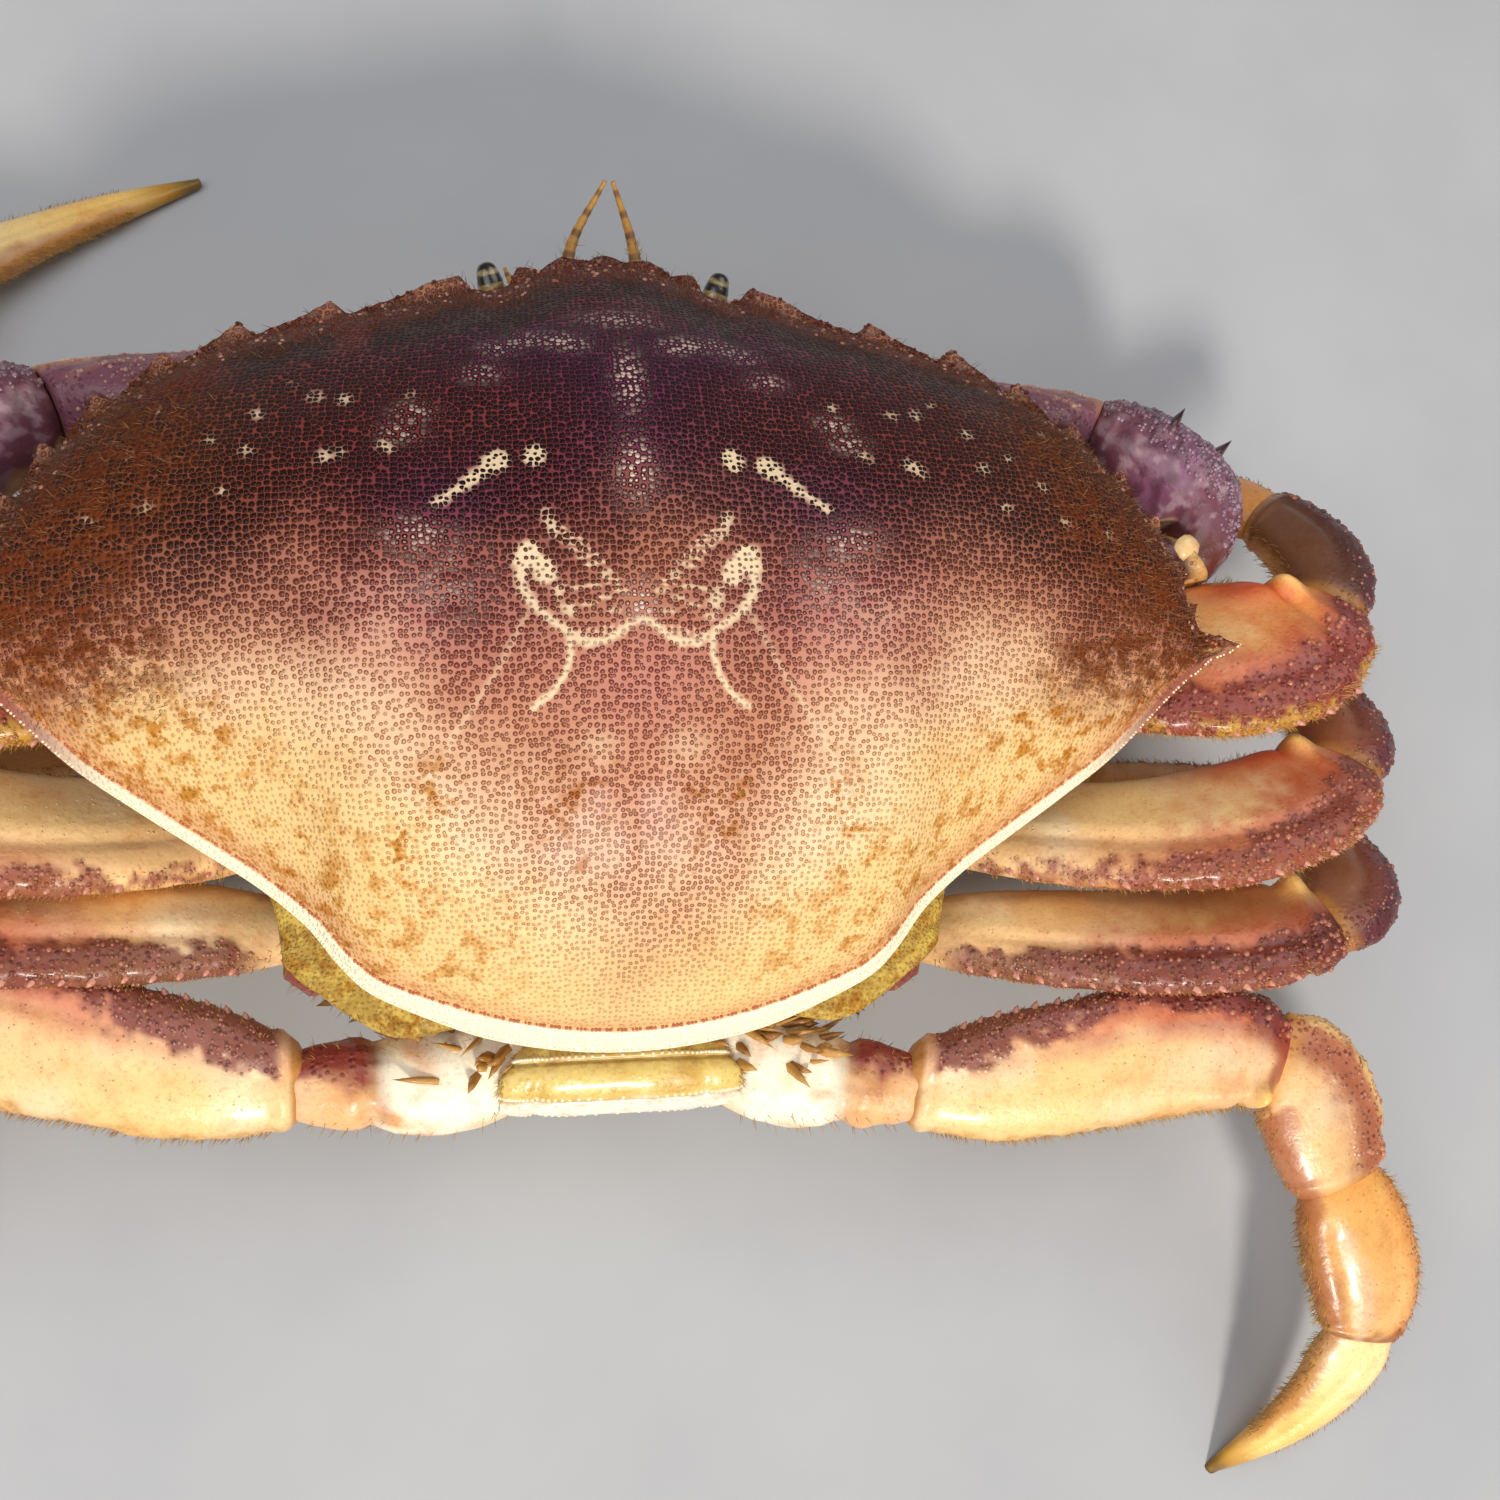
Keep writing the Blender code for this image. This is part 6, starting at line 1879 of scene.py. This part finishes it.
def build_feeler(kind, side, label, root_of, material, coat, generator):
    """One jointed feeler with short hairs near its root."""
    def place(point):
        return Vector((side * point[0], *point[1:]))

    start, aim, bend, end, sizes = FEELERS[kind]
    root, end = root_of(place(start), place(aim)), place(end)
    if kind == "antennule":
        end.x = ANTENNULE_TIPS_X + side * 0.6
    bend = place(bend) if bend else root.lerp(end, 0.45) + Vector((0, 0, 0.8))
    tube, t, _, _, ways = tube_rings(curve_points([root, bend, end], 9), sized(sizes, 9),
                                     Vector((0, 0, 1)), 90, 14)
    tt = np.broadcast_to(t[:, None], tube.shape[:2])
    middle = tube.mean(1, keepdims=True)
    joint = 1 + 0.14 * np.abs(np.sin(tt * 42)) * ramp(tt, 0.35, 0.5)
    joint = joint + 0.25 * bell(tt, 0.22, 0.04) + 0.2 * bell(tt, 0.42, 0.03)
    tube = middle + (tube - middle) * joint[..., None]
    tint = layered((196, 146, 66), ((104, 62, 36), ramp(np.sin(tt * 42 + 1), 0.2, 0.9) * 0.8))
    tint = blend(paint((150, 92, 60)), tint, ramp(tt, 0.15, 0.4))
    piece = Piece()
    piece.add_tube(tube, tint, (0.2, 0.3, 0, 1))
    piece.build(f"feeler_{kind}_{label}", material, "feeler", [f"{kind}_{label}"])

    count = FEELER_HAIRS
    row, column = generator.integers(0, 50, count), generator.integers(0, 14, count)
    root = tube[row, column]
    way = unit(root - middle[row, 0]) + ways[row] * 0.9 + generator.normal(0, 0.2, (count, 3))
    chart = np.stack([0.9 + 0.05 * t[row], np.full(count, 0.5 + side * 0.2)], -1)
    shade = layered((206, 164, 84), ((150, 104, 50), generator.random(count)))
    coat.add(root, way, generator.uniform(0.7, 1.6, count), 0.05, shade, chart)


def build_mouth_plate(side, label, material, coat, generator):
    """One outer mouth plate, with a seam and hairy edges."""
    path = [(side * 6.3, 36.2, 15.0), (side * 6.4, 37.2, 22.0), (side * 6.7, 41.0, 28.0),
            (side * 7.0, 44.6, 32.0)]
    sizes = [(4.2, 1.4), (5.8, 1.5), (6.0, 1.5), (5.0, 1.2)]
    tube, t, c, _, _ = tube_rings(path, sizes, Vector((0, 1, 0)), 90, 56, power=3.0)
    tt, cc = np.broadcast_arrays(t[:, None], c[None, :])
    normals = ring_normals(tube)
    seam = bell(tt, 0.62, 0.012)
    lift = -0.7 * seam - 0.35 * bell(cc, side * 0.35, 0.08) * ramp(tt, 0.6, 0.5)
    tube = tube + normals * (lift + 0.12 * noise(tube, 2.0, 61))[..., None]
    tint = layered(
        (232, 190, 130),
        ((170, 104, 60), ramp(noise(tube, 3.0, 62), -0.1, 0.6) * 0.6),
        (IVORY, 0.5 * ramp(tt, 0.3, 0.0)),
        ((120, 66, 52), 0.5 * ramp(tt, 0.8, 1.0) + 0.6 * seam))
    piece = Piece()
    piece.add_tube(tube, tint, masked(0.4, 0.4 * ramp(np.abs(cc), 0.7, 0.95)))
    piece.build(f"mouth_plate_{label}", material, "underside_shell", [f"maxilliped_{label}"])

    count = MOUTH_HAIRS
    row = generator.integers(4, 88, count)
    column = generator.choice(np.where(np.abs(c) > 0.8)[0], count)
    way = normals[row, column] + np.array([0, 0.5, 0.35]) + generator.normal(0, 0.25, (count, 3))
    chart = np.stack([0.05 + 0.1 * t[row], 0.5 + side * (0.1 + 0.1 * column / len(c))], -1)
    shade = layered((190, 140, 74), ((128, 80, 40), generator.random(count)))
    coat.add(tube[row, column], way, generator.uniform(0.8, 2.0, count), 0.055, shade, chart)


# Underside and tail

STERNUM_SIDES = 420
# Inner ends of the grooves that start at the corners between the legs
GROOVE_ENDS = ((3, 14), (3, 4), (3, -8), (3, -20))


def build_sternum(material):
    """The breast plate, grooved between its segments."""
    walls = breast_corners()
    outline = np.vstack([walls, np.array(walls[::-1]) * (-1, 1)])
    floor_line = breast_corners(BREAST_CHAMFER)
    lower = np.vstack([floor_line, np.array(floor_line[::-1]) * (-1, 1)])
    sides = STERNUM_SIDES
    ring_o = resample(outline, sides)
    ring_l = resample(lower, sides, match=outline)
    rows = []
    top = wall_top(ring_o[:, 1]) - 0.3
    for k in range(10):
        t = k / 9
        z = top * (1 - t) + (BELLY_Z + 2.5) * t
        rows.append(np.column_stack([ring_o, z]))
    for k in range(1, 8):
        t = k / 7
        curve = math.sin(t * math.pi / 2)
        flat = ring_o + (ring_l - ring_o) * (1 - math.cos(t * math.pi / 2))
        rows.append(np.column_stack([flat, np.full(sides, BELLY_Z + 2.5 - 2.5 * curve)]))
    for share in np.linspace(0.97, 0.02, 60):
        rows.append(np.column_stack([ring_l * share, np.full(sides, BELLY_Z)]))
    rings = np.array(rows)
    x, y, z = rings[..., 0], rings[..., 1], rings[..., 2]
    groove = np.zeros_like(x)
    for corner, inner in zip(walls[1:-1], GROOVE_ENDS):
        path = [tuple(corner * 1.02), tuple((corner + np.array(inner)) / 2 + (0, 1.5)), inner]
        groove = np.maximum(groove, closeness(x, y, path, 1.5, 0.6))
    bottom = ramp(z, BELLY_Z + 5.0, BELLY_Z + 2.0)
    rings[..., 2] += groove * 0.9 * bottom
    rings += 0.1 * noise(rings, 3.0, 70)[..., None] * np.array([0, 0, 1.0])
    tint = layered(
        (244, 228, 190),
        (IVORY, ramp(noise(rings, 7.0, 71), -0.2, 0.6)),
        ((206, 154, 88), 0.7 * groove),
        ((196, 140, 80), 0.5 * ramp(z, BELLY_Z + 4, BELLY_Z + 9)))
    piece = Piece()
    piece.add_tube(rings, tint, masked(0.25 * bottom, 0.6 * groove))
    piece.build("shell_sternum", material, "underside_shell", ["sternum"])


def resample(outline, count, match=None):
    """Even points round a closed outline, in step with another one if given."""
    guide = outline if match is None else match
    closed = np.vstack([guide, guide[:1]])
    steps = travelled(closed)
    even = np.linspace(0, steps[-1], count, endpoint=False)
    line = np.vstack([outline, outline[:1]])
    return np.stack([np.interp(even, steps, line[:, k]) for k in range(2)], -1)


TAIL_PATH = [(0, -50.5, 31.0), (0, -55.5, 32.2), (0, -58.9, 28.5), (0, -58.4, 21.0),
             (0, -54.6, 13.8), (0, -46.0, 10.6), (0, -30.0, 10.6), (0, -12.0, 10.6), (0, 2.0, 10.6)]
TAIL_SIZES = [(12.0, 1.6), (15.6, 1.6), (16.6, 1.6), (15.6, 1.6), (14.2, 1.6), (12.8, 1.5),
              (11.0, 1.4), (7.0, 1.4), (2.2, 1.2)]
TAIL_SEAMS = [0.085, 0.2, 0.33, 0.47, 0.62, 0.8]
TAIL_HAIRS = 900


def build_abdomen(material, coat):
    """The tail: seven plates turned down behind the body and forward under the belly."""
    rows, sides = 300, 96
    places = np.linspace(0, 1, rows)
    fine = spline(TAIL_PATH, places)
    spots = np.linspace(0, 1, len(TAIL_PATH))
    width, height = (flow(places, spots, sizes) for sizes in zip(*TAIL_SIZES))
    ways = unit(np.gradient(fine, axis=0))
    across = np.broadcast_to(np.array([1.0, 0, 0]), ways.shape)
    ups = np.cross(ways, across)
    c, s = circle(sides)
    u, v = squared(c, 3.2), squared(s, 3.2)
    part = np.zeros(rows)
    edge = np.zeros(rows)
    for seam in TAIL_SEAMS:
        edge = np.maximum(edge, bell(places, seam, 0.006))
        part = part + (places > seam)
    start = np.array([0] + TAIL_SEAMS)[part.astype(int)]
    stop = np.array(TAIL_SEAMS + [1.0])[part.astype(int)]
    inside = (places - start) / (stop - start)
    step = 0.35 * inside - 0.1
    width = width * (1 + 0.03 * np.sin(inside * math.pi))
    rings = fine[:, None] + across[:, None] * (u[None, :, None] * width[:, None, None]) \
        + ups[:, None] * (v[None, :, None] * (height + step * 0.6)[:, None, None])
    normals = ring_normals(rings)
    tt, cc = np.broadcast_arrays(places[:, None], c[None, :])
    lift = -0.3 * edge[:, None] + 0.1 * noise(rings, 2.0, 80) - 0.35 * bell(np.abs(cc), 0.55, 0.06)
    rings = rings + normals * lift[..., None]
    tint = layered(
        (224, 196, 112),
        ((206, 170, 78), ramp(noise(rings, 3.0, 81), -0.1, 0.6) * 0.8),
        ((255, 250, 232), 0.95 * ramp(tt + 0.02 * noise(rings, 5.0, 82), 0.185, 0.215)
         * ramp(tt, 0.5, 0.38)),
        ((240, 214, 156), 0.8 * ramp(tt, 0.38, 0.55)),
        ((160, 122, 62), 0.5 * edge[:, None] + 0 * tt))
    piece = Piece()
    piece.add_tube(rings, tint, masked(0.2 + 0 * tt, 0.4 * ramp(inside, 0.35, 0.05)[:, None]))
    for seam in TAIL_SEAMS[:3]:
        row = int(seam * (rows - 1)) - 3
        scatter(piece, dome_form(), rings[row], normals[row], 0.3, 0.3 * 0.7, paint(IVORY),
                (0, 0, 0, 1))
    piece.build("shell_abdomen", material, "underside_shell", ["abdomen"])
    generator = np.random.default_rng(12)
    count = TAIL_HAIRS
    row = generator.integers(4, rows - 4, count)
    column = generator.choice(np.where(np.abs(c) > 0.93)[0], count)
    root, normal = rings[row, column], normals[row, column]
    way = normal + ways[row] * 0.5 + generator.normal(0, 0.25, (count, 3))
    chart = np.stack([0.2 + 0.6 * places[row], 0.05 + 0.1 * column / sides], -1)
    shade = layered((190, 156, 92), ((150, 108, 56), generator.random(count)))
    lengths = generator.uniform(0.6, 1.5, count)
    coat.add(root, way, lengths, 0.05, shade, chart)


FELT_HAIRS = 9000


def shell_hair(rings, top_rows, normals, chart, fuzz, coat):
    """Felt on the front corners and flanks, and a fringe under the front edge."""
    generator = np.random.default_rng(3)
    weight = fuzz.copy()
    weight[:top_rows] *= 0.9
    area = np.linalg.norm(np.cross(np.gradient(rings, axis=0), np.gradient(rings, axis=1)), axis=-1)
    weight = np.clip(weight, 0, 1) ** 1.5 * area
    count = FELT_HAIRS
    chosen = generator.choice(weight.size, count, p=(weight / weight.sum()).ravel())
    row, column = np.unravel_index(chosen, weight.shape)
    root, normal = rings[row, column], normals[row, column]
    outward = unit(root * (1, 1, 0) - np.array([0, 10, 0]))
    lie = np.where(row[:, None] < top_rows, outward * 0.9, np.array([0, 0, -0.8]) + outward * 0.3)
    way = normal * 0.35 + lie + generator.normal(0, 0.4, (count, 3))
    lengths = generator.uniform(0.7, 1.9, count)
    shade = layered((84, 44, 22), ((170, 116, 62), generator.random(count) ** 1.5))
    place = chart[row, column] * 0.42 + 0.5
    coat.add(root, way, lengths, 0.05, shade, place)


# Stage

FLOOR_HALF = 4.0
WORLD_LIGHT = (0.95, 0.97, 1.0)
WORLD_STRENGTH = 0.22
# Name, heading, distance and size in metres, power in watts, and colour
LIGHTS = [("key", (0.10, -1.0, 0.74), 1.7, 0.26, 25.0, (1.0, 0.94, 0.84)),
          ("fill", (-0.5, -0.1, 1.0), 1.2, 1.0, 5.0, (0.98, 0.98, 1.0)),
          ("top", (0.55, 0.5, 1.0), 1.2, 0.9, 4.0, (1.0, 0.97, 0.93))]
# The camera fitted to the photograph, in the working frame
CAMERA_PLACE = (-25.3, -59.0, 254.6)
CAMERA_FORWARD = (0.194, 0.205, -0.959)
CAMERA_DOWN = (-0.010, -0.977, -0.211)
CAMERA_SENSOR, CAMERA_LENS = 36.0, 39.23


def build_stage():
    """Floor, soft lights and the camera at the photograph's angle."""
    mesh = bpy.data.meshes.new("floor")
    corners = [(x * FLOOR_HALF, y * FLOOR_HALF, 0) for x, y in ((-1, -1), (1, -1), (1, 1), (-1, 1))]
    mesh.from_pydata(corners, [], [(0, 1, 2, 3)])
    mesh.materials.append(floor_material())
    floor = bpy.data.objects.new("floor", mesh)
    bpy.context.scene.collection.objects.link(floor)

    world = bpy.data.worlds.new("studio")
    world.use_nodes = True
    background = world.node_tree.nodes["Background"].inputs
    background["Color"].default_value = (*WORLD_LIGHT, 1)
    background["Strength"].default_value = WORLD_STRENGTH
    bpy.context.scene.world = world
    bpy.context.scene.view_settings.view_transform = "Standard"

    for name, heading, distance, size, power, colour in LIGHTS:
        light = bpy.data.lights.new(name, "AREA")
        light.shape = "DISK"
        light.size = size
        light.energy = power
        light.color = colour
        lamp = bpy.data.objects.new(name, light)
        way = Vector(heading).normalized()
        lamp.location = way * distance
        lamp.rotation_euler = way.to_track_quat("Z", "Y").to_euler()
        bpy.context.scene.collection.objects.link(lamp)

    forward = Vector(CAMERA_FORWARD).normalized()
    down = Vector(CAMERA_DOWN).normalized()
    right = forward.cross(-down).normalized()
    up = right.cross(forward)
    camera = bpy.data.cameras.new("camera")
    camera.sensor_width = CAMERA_SENSOR
    camera.lens = CAMERA_LENS
    camera.clip_start = 0.01
    eye = bpy.data.objects.new("camera", camera)
    matrix = Matrix((right, up, -forward)).transposed().to_4x4()
    matrix.translation = Vector(tuple((np.array(CAMERA_PLACE) - SHIFT) * 0.001))
    eye.matrix_world = matrix
    bpy.context.scene.collection.objects.link(eye)
    bpy.context.scene.camera = eye


def main():
    """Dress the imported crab."""
    build_stage()
    materials = {
        "leg_shell": limb_material("leg_shell"),
        "leg_tip_shell": limb_material("leg_tip_shell", (0.28, 0.42)),
        "claw_arm_shell": limb_material("claw_arm_shell", (0.26, 0.42), 0.25),
        "claw_shell": limb_material("claw_shell"),
        "underside_shell": limb_material("underside_shell", (0.3, 0.46), 0.2),
        "feeler": limb_material("feeler", (0.35, 0.5), 0.1),
        "eye": eye_material(),
    }
    hair = coat_material()
    coats = {name: Coat() for name in ("body", "legs_right", "legs_left")}
    rings, top_rows, normals, chart, fuzz = build_carapace(carapace_material())
    shell_hair(rings, top_rows, normals, chart, fuzz, coats["body"])
    build_sternum(materials["underside_shell"])
    build_abdomen(materials["underside_shell"], coats["body"])
    build_head(rings, materials, coats["body"])
    for side, group in ((1, "legs_right"), (-1, "legs_left")):
        build_claw_arm(side, materials)
        for number in LEG_JOINTS:
            build_leg(number, side, materials, coats[group], number - 2)
    for name, coat in coats.items():
        slot = "carapace_shell" if name == "body" else "leg_shell"
        coat.build(f"coat_{name}", hair, slot)


main()
